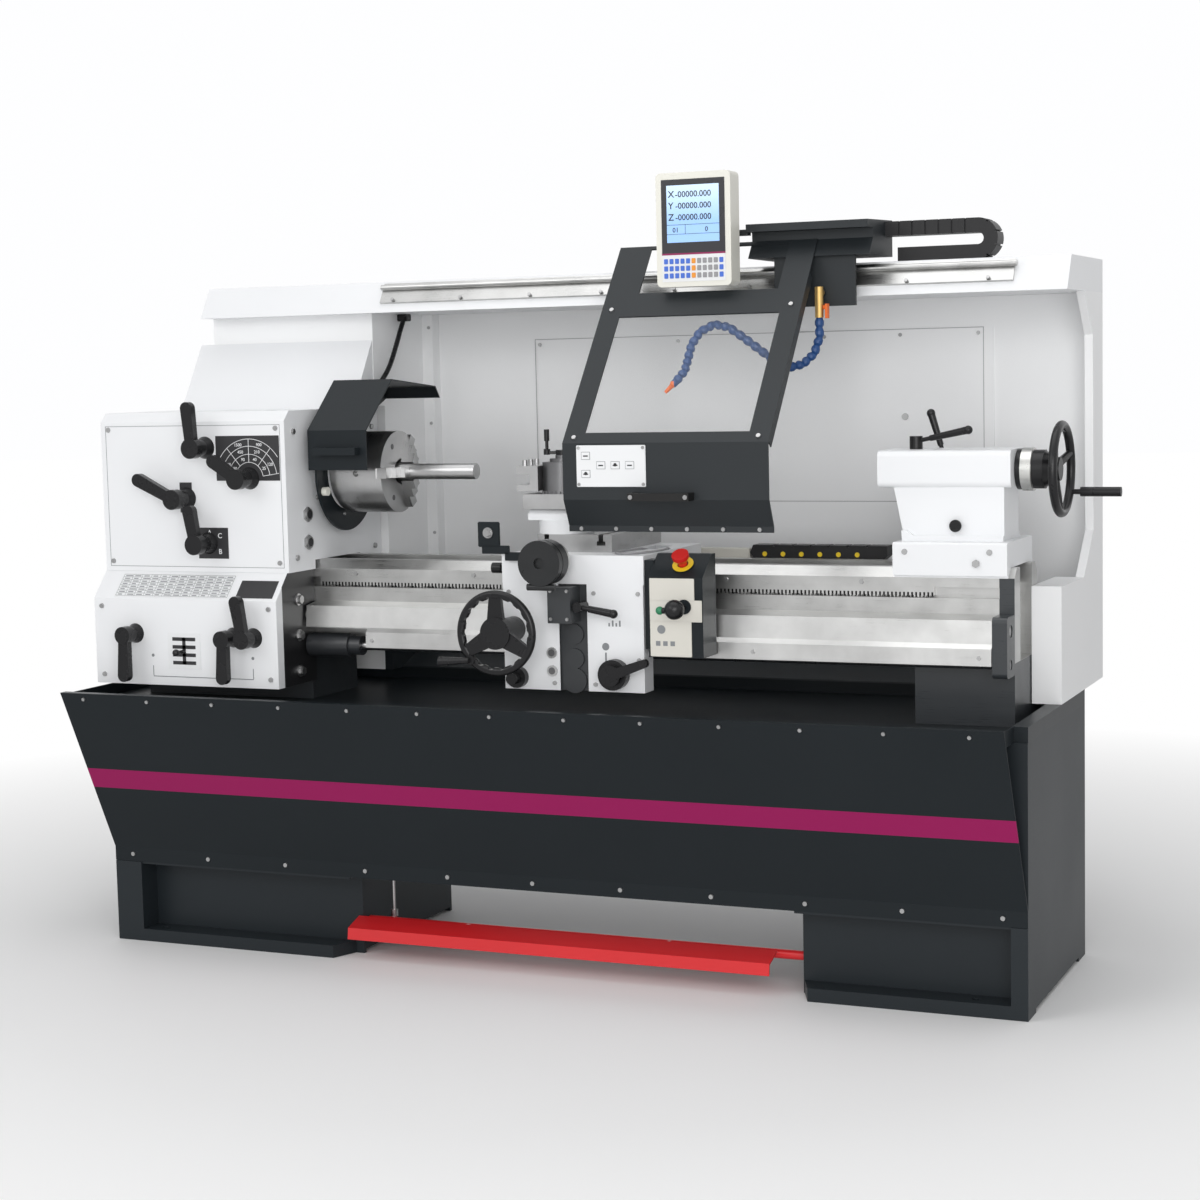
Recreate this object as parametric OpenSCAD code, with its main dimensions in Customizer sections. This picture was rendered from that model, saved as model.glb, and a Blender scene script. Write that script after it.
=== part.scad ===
// Manual engine lathe with a sliding splash shield, digital readout and foot brake.
// X runs along the bed to the tailstock, Y to the back, Z up, millimetres.
// The origin is on the shop floor, in the middle of the four floor-bolt holes.

/* [Base] */
// Length of the cabinet along the bed
cabinet_l = 2370; // [2340:2:2420]
// Depth of the cabinet from front post to back
cabinet_d = 614; // [590:2:660]
// Height of the chip tray floor above the shop floor
tray_z = 617; // [590:1:650]
// Height of the tray rim above the tray floor
rim_h = 34; // [26:1:48]
// Thickness of the base's sheet panels
sheet_t = 4; // [2:0.5:6]
// Length of the left pedestal
left_pedestal_l = 685; // [640:1:720]
// Length of the right pedestal
right_pedestal_l = 535; // [490:1:580]
// How far the front panel leans out at the rim
panel_lean = 90; // [70:1:110]
// How far the front panel flares past the cabinet's left end
panel_flare = 84; // [60:1:110]
// Height of the fold where the front panel starts to lean
fold_z = 243; // [230:1:270]
// Height of the upright flange under that fold
flange_h = 36; // [26:1:44]
// Depth of the recess in the pedestals' fronts
recess_d = 67; // [40:1:90]
// Height of the foot flange
foot_h = 31; // [20:1:40]
// Radius of a floor-bolt hole
floor_hole_r = 9; // [7:0.5:12]

/* [Brake pedal] */
// Radius of the pedal shaft
pedal_shaft_r = 11; // [8:0.5:14]
// Height of the pedal shaft above the shop floor
pedal_z = 78; // [72:1:95]
// Reach of the tread in front of the shaft
tread_reach = 100; // [80:1:110]

/* [Bed] */
// Height of the ways above the tray floor
bed_h = 356; // [340:1:380]
// Width over both ways
bed_w = 228; // [216:2:240]
// Width of one way
way_w = 54; // [44:1:60]
// Height of the bed's side walls
bed_side_h = 213; // [190:1:230]
// Pitch of the rack teeth
rack_pitch = 8; // [6:0.5:12]
// Radius of the leadscrew
leadscrew_r = 14; // [11:0.5:16]
// Radius of the feed rod
feed_rod_r = 11; // [8:0.5:13]

/* [Headstock] */
// Height of the spindle axis above the ways
centre_h = 217; // [205:1:230]
// Length of the headstock along the bed
headstock_l = 543; // [500:1:560]
// Depth of the headstock from front to back
headstock_d = 477; // [450:1:490]
// Distance of the headstock's front from the spindle axis
headstock_front = 245; // [225:1:250]
// Height of the headstock's top above the spindle axis
headstock_top = 162; // [150:1:175]
// Distance of the feed gearbox's front from the spindle axis
gearbox_front = 305; // [285:1:320]
// Height of the feed gearbox's front face
gearbox_h = 218; // [190:1:230]
// Radius of the spindle
spindle_r = 44; // [38:0.5:50]
// Radius of the spindle's through bore
spindle_bore_r = 26; // [21:0.5:30]

/* [Chuck] */
// Diameter of the chuck
chuck_d = 206; // [190:1:216]
// Length of the chuck body
chuck_l = 128; // [110:1:140]
// Width of a jaw
jaw_w = 26; // [20:1:32]
// Diameter of the bar held in the chuck
bar_d = 40; // [25:1:48]
// Length of bar that stands out of the chuck
bar_out = 217; // [120:1:240]

/* [Carriage] */
// Place of the saddle between headstock and tailstock, as a share
saddle_place = 0.402; // [0.38:0.002:0.42]
// Length of the saddle along the bed
saddle_l = 363; // [340:1:380]
// Height of the saddle's top above the ways
saddle_h = 31; // [26:1:40]
// Distance of the apron's front from the spindle axis
apron_front = 250; // [240:1:262]
// Height of the apron
apron_h = 253; // [230:1:265]
// Radius of the carriage handwheel
carriage_wheel_r = 101; // [90:1:108]
// Radius of the cross slide handwheel
cross_wheel_r = 53; // [46:1:58]
// Width of the cross slide
cross_slide_w = 193; // [180:1:200]
// Height of the tool holder
holder_h = 60; // [50:1:66]
// Height of the tool slot in the holder
tool_slot_h = 25; // [20:1:32]

/* [Shield] */
// Place of the shield between headstock and tailstock, as a share
shield_place = 0.5235; // [0.50:0.0005:0.55]
// Width of the splash shield
shield_w = 505; // [480:1:530]
// Width of the shield frame's side bars
shield_bar_w = 50; // [36:1:64]
// Thickness of the shield's sheet
shield_t = 4; // [3:0.5:6]
// Width of the readout's case
readout_w = 188; // [170:1:200]
// Height of the readout's case
readout_h = 268; // [240:1:276]

/* [Guard] */
// Height of the hood's top above the shop floor
hood_z = 1675; // [1660:1:1700]
// Height of the hood
hood_h = 80; // [70:1:90]
// Distance of the back wall from the spindle axis
back_wall_y = 500; // [480:1:520]
// Radius of the rail that carries the shield
rail_r = 7; // [5:0.5:9]

/* [Tailstock] */
// Distance of the tailstock barrel's left end from the bed's right end
tail_inset = 324; // [314:1:340]
// Length of the tailstock barrel
tailstock_l = 308; // [290:1:312]
// Radius of the quill
quill_r = 30; // [24:0.5:34]
// Radius of the tailstock handwheel
tail_wheel_r = 109; // [95:1:115]

/* [Hidden] */
$fn = 72;
// clearances: running fit of a shaft, gap of a sliding face
run = 0.08;
slip = 0.3;
eps = 0.01;

// base
cab_x = cabinet_l / 2;
cab_y = cabinet_d / 2;
rim_z = tray_z + rim_h;
tray_top = rim_z - 3 - slip;
lean = panel_lean / (rim_z - fold_z);
bolt_x = cab_x - 125;
bolt_y = cab_y - recess_d / 2;
bolt_flange_d = recess_d;
pedal_y = -cab_y + 102;
pedal_x0 = -cab_x + left_pedestal_l;
pedal_x1 = cab_x - right_pedestal_l;
link_x = pedal_x0 + 50;
link_y = pedal_y + 35;
link_r = 4;
function panel_y(z) = -cab_y - (z - fold_z) * lean;

// bed
bed_top = tray_z + bed_h;
bed_half = bed_w / 2;
bed_x1 = cab_x - 71;
bed_x0 = -cab_x - 5;
bed_l = bed_x1 - bed_x0;
tailstock_x = bed_x1 - tail_inset;
vee = 22;
bed_low = bed_top - bed_side_h;
rack_z1 = bed_top - 43;
rack_z0 = bed_top - 75;
rack_d = 18;
screw_y = -bed_half - 36;
leadscrew_z = bed_top - 136;
feed_rod_z = bed_top - 211;

// headstock
axis_z = bed_top + centre_h;
head_x0 = bed_x0 - 28;
head_x1 = head_x0 + headstock_l;
// free length between the headstock and the tailstock
free_l = tailstock_x - head_x1;
head_y0 = -headstock_front;
head_y1 = head_y0 + headstock_d;
head_low = bed_top - 23;
head_top = axis_z + headstock_top;
gear_y0 = -gearbox_front;
gear_z1 = head_low - 65;
gear_z0 = gear_z1 - gearbox_h;
bearing_r = spindle_r + 17;
boss_r = spindle_r + 51;
nose_x0 = head_x1 + 25;
chuck_x0 = nose_x0 + 35;
chuck_x1 = chuck_x0 + chuck_l;
chuck_bore_r = spindle_bore_r + 4;
guard_plate_x = head_x1 + 27;

// carriage
saddle_x = head_x1 + saddle_place * free_l;
saddle_x1 = saddle_x + saddle_l;
saddle_top = bed_top + saddle_h;
saddle_low = bed_top - 37;
apron_y = -apron_front;
apron_back = -bed_half - 82;
apron_z0 = saddle_low - apron_h;
cross_x = saddle_x + 56;
cross_top = saddle_top + 42;
cross_y0 = -165;
post_x = saddle_x + 96;
post_y = -100;
swivel_top = cross_top + 33;
slide_base_top = swivel_top + 26;
slide_top = slide_base_top + 36;
holder_z = slide_top + 8;
post_top = holder_z + holder_h + 22;
wheel_x = saddle_x + 28;
wheel_z = saddle_low - 109;
cross_wheel_x = saddle_x + 146;
cross_wheel_z = saddle_top - 11;
half_nut_x = saddle_x + 288;
half_nut_z = apron_z0 + 43;
box_x0 = saddle_x1 + slip;
box_x1 = saddle_x + 520;
box_y0 = apron_y - 30;
box_y1 = -bed_half - 80;
box_z0 = apron_z0 + 90;
box_z1 = saddle_top - 46;
box_top = saddle_top + 4;

// shield: the upright lower panel folds at (fold_y, fold_top) and leans back to the carrier
shield_x = head_x1 + shield_place * free_l;
shield_x1 = shield_x + shield_w;
fold_y = -280;
fold_top = axis_z + 77;
panel_low = axis_z - 54;
lip_z = axis_z - 130;
lip_y = fold_y + 30;
slope = atan2(472, 385);
slope_l = 616;
carrier_x0 = shield_x + 340;
carrier_x1 = shield_x + 640;

// guard
hood_low = hood_z - hood_h;
hood_y0 = 116;
hood_y1 = back_wall_y + 30;
hood_x0 = head_x0 + 78;
hood_slant = atan2(hood_h, 50);
rail_s = 68;
left_box_y = 180;
left_box_x1 = head_x1 + 22;
wing_x0 = bed_x1 + 2;

// tailstock
tail_x1 = tailstock_x + tailstock_l;
tail_base_x0 = tailstock_x + 47;
tail_base_x1 = tail_x1 + 2;
tail_base_top = bed_top + 58;
barrel_low = axis_z - 38;
barrel_top = axis_z + 47;
barrel_half = 80;

anthracite = [0.17, 0.19, 0.21];
white_paint = [0.93, 0.94, 0.95];
dark_plastic = [0.07, 0.07, 0.08];
steel = [0.68, 0.69, 0.7];
iron = [0.42, 0.43, 0.45];

// rods along an axis, blocks between corners, and profiles swept along X or Y
module x_rod(r, x0, x1, y, z) translate([x0, y, z]) rotate([0, 90, 0]) cylinder(r = r, h = x1 - x0);
module y_rod(r, y0, y1, x, z) translate([x, y1, z]) rotate([90, 0, 0]) cylinder(r = r, h = y1 - y0);
module z_rod(r, z0, z1, x, y) translate([x, y, z0]) cylinder(r = r, h = z1 - z0);
module block(lo, hi) translate(lo) cube(hi - lo);
module between(a, b, r1, r2) {
  run = b - a;
  lean = [0, acos(run[2] / norm(run)), atan2(run[1], run[0])];
  translate(a) rotate(lean) cylinder(h = norm(run), r1 = r1, r2 = r2);
}
module along_x(x0, x1) translate([x0, 0, 0]) rotate([90, 0, 90]) linear_extrude(x1 - x0) children();
module along_y(y0, y1) translate([0, y1, 0]) rotate([90, 0, 0]) linear_extrude(y1 - y0) children();

// rectangle with round corners, from its lower left corner
module round_rect(w, h, r) {
  translate([r, 0]) square([w - 2 * r, h]);
  translate([0, r]) square([w, h - 2 * r]);
  for (x = [r, w - r], y = [r, h - r]) translate([x, y]) circle(r);
}

// one pedestal, its outer end at x = 0 and its inner end at x = l
module pedestal(l, post_w, foot_l) {
  body_y = cab_y - recess_d;
  rail_z = fold_z - flange_h - 6;
  difference() {
    union() {
      block([0, -body_y, 0], [l, body_y, tray_z - sheet_t]);
      block([0, -cab_y + sheet_t, rail_z], [l, cab_y, tray_z - sheet_t]);
      block([0, -cab_y, 0], [post_w, cab_y, fold_z - flange_h - 1]);
      linear_extrude(foot_h)
        polygon([[0, -cab_y], [foot_l, -cab_y], [foot_l + 28, -body_y], [l, -body_y],
                 [l, body_y], [foot_l + 28, body_y], [foot_l, cab_y], [0, cab_y]]);
    }
    block([-1, -body_y + 10, -1], [l + 1, body_y - 10, 10]);
    for (side = [-1, 1]) z_rod(floor_hole_r, -1, foot_h + 1, 125, side * bolt_y);
  }
}

module pedestals() color(anthracite) {
  difference() {
    union() {
      translate([-cab_x, 0, 0]) pedestal(left_pedestal_l, 77, left_pedestal_l - 51);
      block([pedal_x0 - 1, link_y - 12, 186], [link_x + 12, link_y + 12, 196]);
    }
    x_rod(pedal_shaft_r + run, pedal_x0 - 14, pedal_x0 + 1, pedal_y, pedal_z);
    z_rod(link_r + run, 180, 200, link_x, link_y);
  }
  difference() {
    translate([cab_x, 0, 0]) mirror([1, 0, 0]) pedestal(right_pedestal_l, 38, right_pedestal_l - 30);
    x_rod(pedal_shaft_r + run, pedal_x1 - 1, pedal_x1 + 14, pedal_y, pedal_z);
  }
}

// folded front sheet: upright flange, leaning face and turned-in lip, cut to its flared outline
module front_panel() color(anthracite) intersection() {
  back = sheet_t / cos(atan(lean));
  along_x(-cab_x - panel_flare, cab_x)
    polygon([[-cab_y, fold_z - flange_h], [-cab_y, fold_z], [panel_y(rim_z), rim_z],
             [panel_y(rim_z) + 24, rim_z],
             [panel_y(rim_z) + 24, rim_z - 3], [panel_y(rim_z - 3) + back, rim_z - 3],
             [-cab_y + sheet_t, fold_z], [-cab_y + sheet_t, fold_z - flange_h]]);
  along_y(-cab_y - panel_lean - 1, 0)
    polygon([[-cab_x, fold_z - flange_h - 1], [cab_x, fold_z - flange_h - 1], [cab_x, fold_z],
             [cab_x - 30, rim_z + 1], [-cab_x - panel_flare, rim_z + 1], [-cab_x, fold_z]]);
}

// shallow welded tray with a flared left end
module chip_tray() color(anthracite) {
  x0 = -cab_x - panel_flare + 8;
  x1 = cab_x - 32;
  inner = sheet_t / cos(atan(lean)) + slip;
  low = tray_z - sheet_t;
  along_x(x0, x1)
    polygon([[panel_y(low) + inner, low], [panel_y(tray_top) + inner, tray_top],
             [panel_y(tray_top) + inner + sheet_t, tray_top], [panel_y(tray_z) + inner + sheet_t, tray_z],
             [cab_y - sheet_t, tray_z], [cab_y - sheet_t, tray_top], [cab_y, tray_top], [cab_y, low]]);
  for (x = [x0, x1 - sheet_t])
    block([x, panel_y(tray_z) + inner + 1, low], [x + sheet_t, cab_y, tray_top]);
  block([x1 - 1, -cab_y + 8, low], [cab_x, cab_y, tray_top]);
  // flared cheek from the pedestal out to the tray's left end
  hull() {
    block([-cab_x - sheet_t, -cab_y + 12, fold_z], [-cab_x - slip, cab_y - 2, fold_z + 1]);
    block([x0 + 1, panel_y(low) + inner + 10, low - 1], [x0 + sheet_t - 1, cab_y - 2, low + 2]);
  }
}

// back wall, left box behind the headstock, right wing and the low box at the bed's end
module rear_guard() color(white_paint) {
  wing_t = 20;
  chute_h = 74;
  chute_lip = 14;
  top = hood_low - eps;
  block([left_box_x1 - 1, back_wall_y, tray_top], [cab_x, hood_y1, top]);
  block([head_x1 + 383, back_wall_y - 4, tray_top + 290], [cab_x - 262, back_wall_y + 1, top - 75]);
  block([left_box_x1 - eps, back_wall_y - 40, tray_top], [left_box_x1 + 32, back_wall_y + 1, top]);
  // chute that leads chips from the wall's foot over the tray's rear rim
  along_x(left_box_x1 - 1, cab_x - wing_t + 1)
    polygon([[cab_y - chute_lip, tray_top], [cab_y - chute_lip, tray_top + sheet_t],
             [back_wall_y + 1, tray_top + chute_h], [back_wall_y + 1, tray_top + chute_h - sheet_t],
             [cab_y, tray_top]]);
  difference() {
    along_x(hood_x0, left_box_x1)
      polygon([[head_y1 + 3, tray_top], [head_y1 + 3, head_top + 1], [left_box_y, head_top + 1],
               [left_box_y, top], [hood_y1, top], [hood_y1, tray_top]]);
    along_x(hood_x0 + 20, left_box_x1 - 20)
      polygon([[head_y1 + 23, tray_top - 1], [head_y1 + 23, top - 20], [hood_y1 - 20, top - 20],
               [hood_y1 - 20, tray_top - 1]]);
  }
  along_x(cab_x - wing_t, cab_x)
    polygon([[300, tray_top], [300, tray_top + 270], [416, tray_top + 374], [409, top - 102], [313, top],
             [back_wall_y + 1, top], [back_wall_y + 1, tray_top]]);
  along_x(wing_x0, cab_x)
    polygon([[46, tray_top], [46, tray_top + 272], [302, tray_top + 270], [302, tray_top]]);
}

module hood_profile()
  polygon([[hood_y0, hood_low], [hood_y0 + 50, hood_z], [hood_y1, hood_z], [hood_y1, hood_low]]);

module guard_hood() color(white_paint) along_x(hood_x0, cab_x) hood_profile();

// round rail on an aluminium strip along the hood's leaning front
module hood_rail() color(steel)
  on_hood() {
    block([head_x1 + 77, rail_s - 42, 0], [cab_x - 127, rail_s + 16, 7]);
    x_rod(rail_r, head_x1 + 75, cab_x - 121, rail_s, rail_r + 6);
  }

// half of the bed's section, from its middle line outward
module bed_side() polygon([[bed_half - way_w, bed_low], [bed_half, bed_low], [bed_half, bed_top - vee],
                           [bed_half - vee, bed_top], [bed_half - way_w, bed_top]]);

module bed() color(iron) difference() {
  union() {
    along_x(bed_x0, bed_x1) {
      bed_side();
      mirror([1, 0]) bed_side();
    }
    for (i = [0:7])
      block([bed_x0 + 30 + i * (bed_l - 90) / 7, -bed_half + way_w - 1, bed_low],
            [bed_x0 + 60 + i * (bed_l - 90) / 7, bed_half - way_w + 1, bed_top - 45]);
    block([bed_x0, -bed_half, tray_z], [head_x1 - 20, bed_half, bed_low + 1]);
    block([bed_x1 - 230, -bed_half, tray_z], [bed_x1, bed_half + 36, bed_low + 1]);
    // bearing bracket for the leadscrew and the feed rod
    along_x(bed_x1 - 34, bed_x1)
      translate([screw_y - 38, feed_rod_z - 28]) round_rect(76 + 1, leadscrew_z - feed_rod_z + 62, 12);
    // folded ledge for the cable chain, outside the saddle's rear skirt
    along_x(saddle_x + 240, saddle_x + 846)
      polygon([[bed_half - 1, bed_top - 68], [bed_half + 26, bed_top - 68], [bed_half + 26, bed_top - 16],
               [bed_half + 88, bed_top - 16], [bed_half + 88, bed_top - 11], [bed_half + 22, bed_top - 11],
               [bed_half + 22, bed_top - 63], [bed_half - 1, bed_top - 63]]);
  }
  block([bed_x0 - 1, -bed_half - 1, rack_z0 + 7], [bed_x1 - 34, -bed_half + rack_d, rack_z1]);
  x_rod(leadscrew_r + run, bed_x1 - 40, bed_x1 + 1, screw_y, leadscrew_z);
  x_rod(feed_rod_r + run, bed_x1 - 40, bed_x1 + 1, screw_y, feed_rod_z);
}

module rack() color(steel) {
  x0 = head_x1 + 12;
  teeth = floor((bed_x1 - 178 - x0) / rack_pitch);
  tooth_h = rack_pitch * 0.7;
  tooth_root = rack_z0 + 7 + tooth_h;
  along_y(-bed_half + 2, -bed_half + rack_d)
    polygon(concat(
      [for (i = [0:teeth - 1], p = [[0.14, 1], [0.34, 0], [0.66, 0], [0.86, 1]])
        [x0 + (i + p[0]) * rack_pitch, tooth_root - (1 - p[1]) * (tooth_h - 1)]],
      [[x0 + teeth * rack_pitch, tooth_root], [x0 + teeth * rack_pitch, rack_z1], [x0, rack_z1],
       [x0, tooth_root]]));
}

// folded steel covers in front of the leadscrew and the feed rod
module screw_covers() color(steel) {
  t = 3;
  y0 = -bed_half;
  top = bed_top - 103;
  difference() {
    along_x(head_x1 + 1, bed_x1 - 36)
      polygon([[y0, top], [y0 - 54, top - 8], [y0 - 60, top - 60], [y0 - 72, top - 70],
               [y0 - 74, top - 108],
               [y0 - 74 + t, top - 108], [y0 - 72 + t, top - 70 - t], [y0 - 60 + t, top - 60 - t],
               [y0 - 54 + t, top - 8 - t], [y0, top - t]]);
    block([head_x1, y0 - 90, top - 120], [head_x1 + 178, y0 - 50, top - 62]);
  }
}

module headstock() color(white_paint) difference() {
  union() {
    along_x(head_x0, head_x1)
      polygon([[head_y0, head_low], [head_y0, head_top - 24], [head_y0 + 24, head_top],
               [head_y1 - 24, head_top],
               [head_y1, head_top - 24], [head_y1, head_low], [bed_half + 2, head_low],
               [bed_half + 2, bed_top],
               [-bed_half - 2, bed_top], [-bed_half - 2, head_low]]);
    x_rod(boss_r - run, head_x1 - 1, nose_x0 + 9, 0, axis_z);
  }
  x_rod(spindle_r + 3, head_x0 - 1, nose_x0, 0, axis_z);
  x_rod(spindle_r + 44, nose_x0 - 3, nose_x0 + 10, 0, axis_z);
  x_rod(bearing_r, head_x0 + 14, head_x0 + 50, 0, axis_z);
  x_rod(bearing_r, head_x1 - 46, head_x1 - 10, 0, axis_z);
}

// sloping cover above the headstock and the change-gear cover on its left end
module headstock_covers() color(white_paint) {
  along_x(hood_x0 - 40, left_box_x1 - 2)
    polygon([[70, head_top], [left_box_y - slip, head_top + 174], [left_box_y - slip, head_top]]);
  difference() {
    along_y(head_y0 + 55, head_y1 - 20)
      polygon([[head_x0, gear_z0 + 25], [head_x0, axis_z + 115], [head_x0 - 18, axis_z + 115],
               [head_x0 - 36, axis_z + 97], [head_x0 - 36, gear_z0 + 43], [head_x0 - 18, gear_z0 + 25]]);
    x_rod(spindle_r + 3, head_x0 - 37, head_x0 + 1, 0, axis_z);
  }
}

module gearbox() color(white_paint) difference() {
  along_x(head_x0, head_x1 - 5)
    polygon([[gear_y0, gear_z0], [gear_y0, gear_z1], [head_y0 - 1, head_low - slip],
             [-bed_half - 4, head_low - slip], [-bed_half - 4, gear_z0]]);
  x_rod(leadscrew_r + run, head_x1 - 35, head_x1, screw_y, leadscrew_z);
  x_rod(feed_rod_r + run, head_x1 - 35, head_x1, screw_y, feed_rod_z);
  // gate of the selector: one upright slot and three crossing ones
  block([gate_x - 5, gear_y0 - 1, gate_z - 28], [gate_x + 5, gear_y0 + 14, gate_z + 28]);
  for (dz = [-20, 0, 20])
    block([gate_x - 20, gear_y0 - 1, gate_z + dz - 5], [gate_x + 20, gear_y0 + 14, gate_z + dz + 5]);
}
gate_x = head_x0 + 266;
gate_z = gear_z1 - 130;

module spindle() color(steel) difference() {
  union() {
    x_rod(spindle_r, head_x0 - 12, nose_x0 + 12, 0, axis_z);
    x_rod(spindle_r + 42, nose_x0, chuck_x0 - 15, 0, axis_z);
  }
  x_rod(spindle_bore_r, head_x0 - 13, nose_x0 + 40, 0, axis_z);
}

module spindle_bearings() color(iron)
  for (x = [head_x0 + 14, head_x1 - 46]) difference() {
    x_rod(bearing_r, x, x + 36, 0, axis_z);
    x_rod(spindle_r + run, x - 1, x + 37, 0, axis_z);
  }

// scroll chuck with three radial slots in its face
module chuck_body() color(steel) difference() {
  union() {
    x_rod(chuck_d / 2 - 3, chuck_x0 - 15, chuck_x0, 0, axis_z);
    x_rod(chuck_d / 2, chuck_x0 - eps, chuck_x1, 0, axis_z);
  }
  x_rod(chuck_bore_r, chuck_x0 - 16, chuck_x1 + 1, 0, axis_z);
  for (a = [60, 180, 300]) translate([0, 0, axis_z]) rotate([a, 0, 0]) {
    block([chuck_x1 - 14, 0, -jaw_w / 2], [chuck_x1 + 1, chuck_d, jaw_w / 2]);
    y_rod(8, chuck_d / 2 - 22, chuck_d, chuck_x0 + chuck_l * 0.45, 0);
  }
}

module chuck_jaws() color(steel)
  for (a = [60, 180, 300]) translate([0, 0, axis_z]) rotate([a, 0, 0])
    translate([0, 0, -jaw_w / 2]) linear_extrude(jaw_w)
      polygon([[chuck_x1 - 14, chuck_bore_r], [chuck_x1 + 4, chuck_bore_r], [chuck_x1 + 4, bar_d / 2],
               [chuck_x1 + 38, bar_d / 2], [chuck_x1 + 38, bar_d / 2 + 24], [chuck_x1 + 26, bar_d / 2 + 24],
               [chuck_x1 + 26, bar_d / 2 + 48], [chuck_x1 + 14, bar_d / 2 + 48],
               [chuck_x1 + 14, chuck_d / 2 - 4],
               [chuck_x1 - 14, chuck_d / 2 - 4]]);

module bar_stock() color(steel) difference() {
  x_rod(bar_d / 2, chuck_x1 - 40, chuck_x1 + bar_out, 0, axis_z);
  rotate_about_axis(chuck_x1 + bar_out)
    polygon([[bar_d / 2 - 1.5, 1], [bar_d / 2 + 1, 1], [bar_d / 2 + 1, -1.5]]);
}
// revolves a profile of radius and height about the spindle axis, height along X from x
module rotate_about_axis(x) translate([x, 0, axis_z]) rotate([0, 90, 0]) rotate_extrude() children();

// bent sheet over the chuck on a ring that turns round the headstock's nose
module chuck_guard() color(anthracite) {
  t = 3;
  outer = [[-180, 12], [-180, 111], [-39, 234], [200, 213], [224, 182]];
  inner = [[224 - t, 182], [200 - t, 213 - t], [-39 + t / 2, 234 - t], [-180 + t, 111 - t / 2],
           [-180 + t, 12]];
  translate([0, 0, axis_z]) {
    along_x(guard_plate_x, guard_plate_x + 6) difference() {
      union() {
        polygon(outer);
        circle(boss_r + 55);
      }
      circle(boss_r);
    }
    along_x(guard_plate_x, chuck_x1 + 5) polygon(concat(outer, inner));
    // pull handle across the front sheet
    block([guard_plate_x + 26, -206, 50], [chuck_x1 - 14, -194, 68]);
    for (x = [guard_plate_x + 26, chuck_x1 - 44]) block([x, -195, 50], [x + 30, -180 + eps, 68]);
  }
}

// hand lever: flared hub towards the operator, broad grip at an angle counted from +X towards +Z
module hand_lever(hub_l, grip_l, angle, cap_r = 25, grip_w = 32) rotate([0, -angle, 0]) {
  end = grip_l - grip_w / 2;
  y_rod(cap_r - 5, -hub_l, 0, 0, 0);
  rotate([90, 0, 0]) cylinder(r1 = cap_r + 3, r2 = cap_r - 7, h = 24);
  y_rod(cap_r, -hub_l - 10, -hub_l + 16, 0, 0);
  along_y(-hub_l - 7, -hub_l + 12) {
    polygon([[0, -13], [end, -grip_w / 2], [end, grip_w / 2], [0, 13]]);
    translate([end, 0]) circle(grip_w / 2);
  }
}
lever_gap = slip;
speed_right = [head_x1 - 104, axis_z - 4];
speed_top = [head_x1 - 232, axis_z + 73];
speed_left = [head_x1 - 292, axis_z - 54];
speed_low = [head_x1 - 232, axis_z - 167];
module at_head(p) translate([p[0], head_y0 - lever_gap, p[1]]) children();
module speed_lever_right() color(dark_plastic) at_head(speed_right) hand_lever(60, 96, 146);
module speed_lever_top() color(dark_plastic) at_head(speed_top) hand_lever(60, 116, 95);
module speed_lever_left() color(dark_plastic) at_head(speed_left) hand_lever(60, 128, 154);
module speed_lever_low() color(dark_plastic) at_head(speed_low) hand_lever(60, 100, 100);

feed_left = [head_x0 + 122, gear_z1 - 88];
feed_mid = [head_x0 + 412, gear_z1 - 92];
feed_right = [head_x0 + 470, gear_z1 - 92];
module at_gearbox(p) translate([p[0], gear_y0 - lever_gap, p[1]]) children();
module feed_lever_left() color(dark_plastic) at_gearbox(feed_left) hand_lever(50, 118, -92, 22);
module feed_lever_mid() color(dark_plastic) at_gearbox(feed_mid) hand_lever(50, 112, -92, 22);
module feed_lever_right() color(dark_plastic) at_gearbox(feed_right) hand_lever(50, 110, 100, 22);

module selector_stick() color(dark_plastic) {
  y_rod(4, gear_y0 - 34, gear_y0 + 14 - slip, gate_x, gate_z);
  translate([gate_x, gear_y0 - 38, gate_z]) sphere(9);
}

module leadscrew() color(steel) x_rod(leadscrew_r, head_x1 - 34, bed_x1 - 2, screw_y, leadscrew_z);

// feed rod with its overload clutch beside the gearbox
module feed_rod() color(iron) {
  x_rod(feed_rod_r, head_x1 - 34, bed_x1 - 2, screw_y, feed_rod_z);
  // clutch sleeve, slid over the rod
  difference() {
    union() {
      x_rod(30, head_x1 + 2, head_x1 + 118, screw_y, feed_rod_z);
      x_rod(24, head_x1 + 117, head_x1 + 150, screw_y, feed_rod_z);
    }
    x_rod(feed_rod_r + slip, head_x1 + 1, head_x1 + 151, screw_y, feed_rod_z);
  }
}

// folded tread on two arms, welded to the cross shaft
module brake_pedal() color([0.88, 0.16, 0.16]) {
  t = 4;
  y0 = pedal_y - tread_reach;
  x0 = pedal_x0 - 10;
  x1 = pedal_x1 - 62;
  x_rod(pedal_shaft_r, pedal_x0 - 12, pedal_x1 + 12, pedal_y, pedal_z);
  along_x(x0, x1)
    polygon([[y0, pedal_z - 28], [y0 + 4, pedal_z], [y0 + 61, pedal_z + 18], [y0 + 61, pedal_z + 18 - t],
             [y0 + 4 + t, pedal_z - t], [y0 + t, pedal_z - 28]]);
  for (x = [0.24, 0.7] * (pedal_x1 - pedal_x0))
    along_x(pedal_x0 + x, pedal_x0 + x + 8)
      polygon([[y0 + 10, pedal_z - 4], [y0 + 58, pedal_z + 15], [pedal_y, pedal_z + 10],
               [pedal_y, pedal_z - 10],
               [y0 + 60, pedal_z - 14]]);
  block([link_x - 6, pedal_y, pedal_z - 5], [link_x + 6, link_y + 2, pedal_z + 5]);
}

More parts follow.
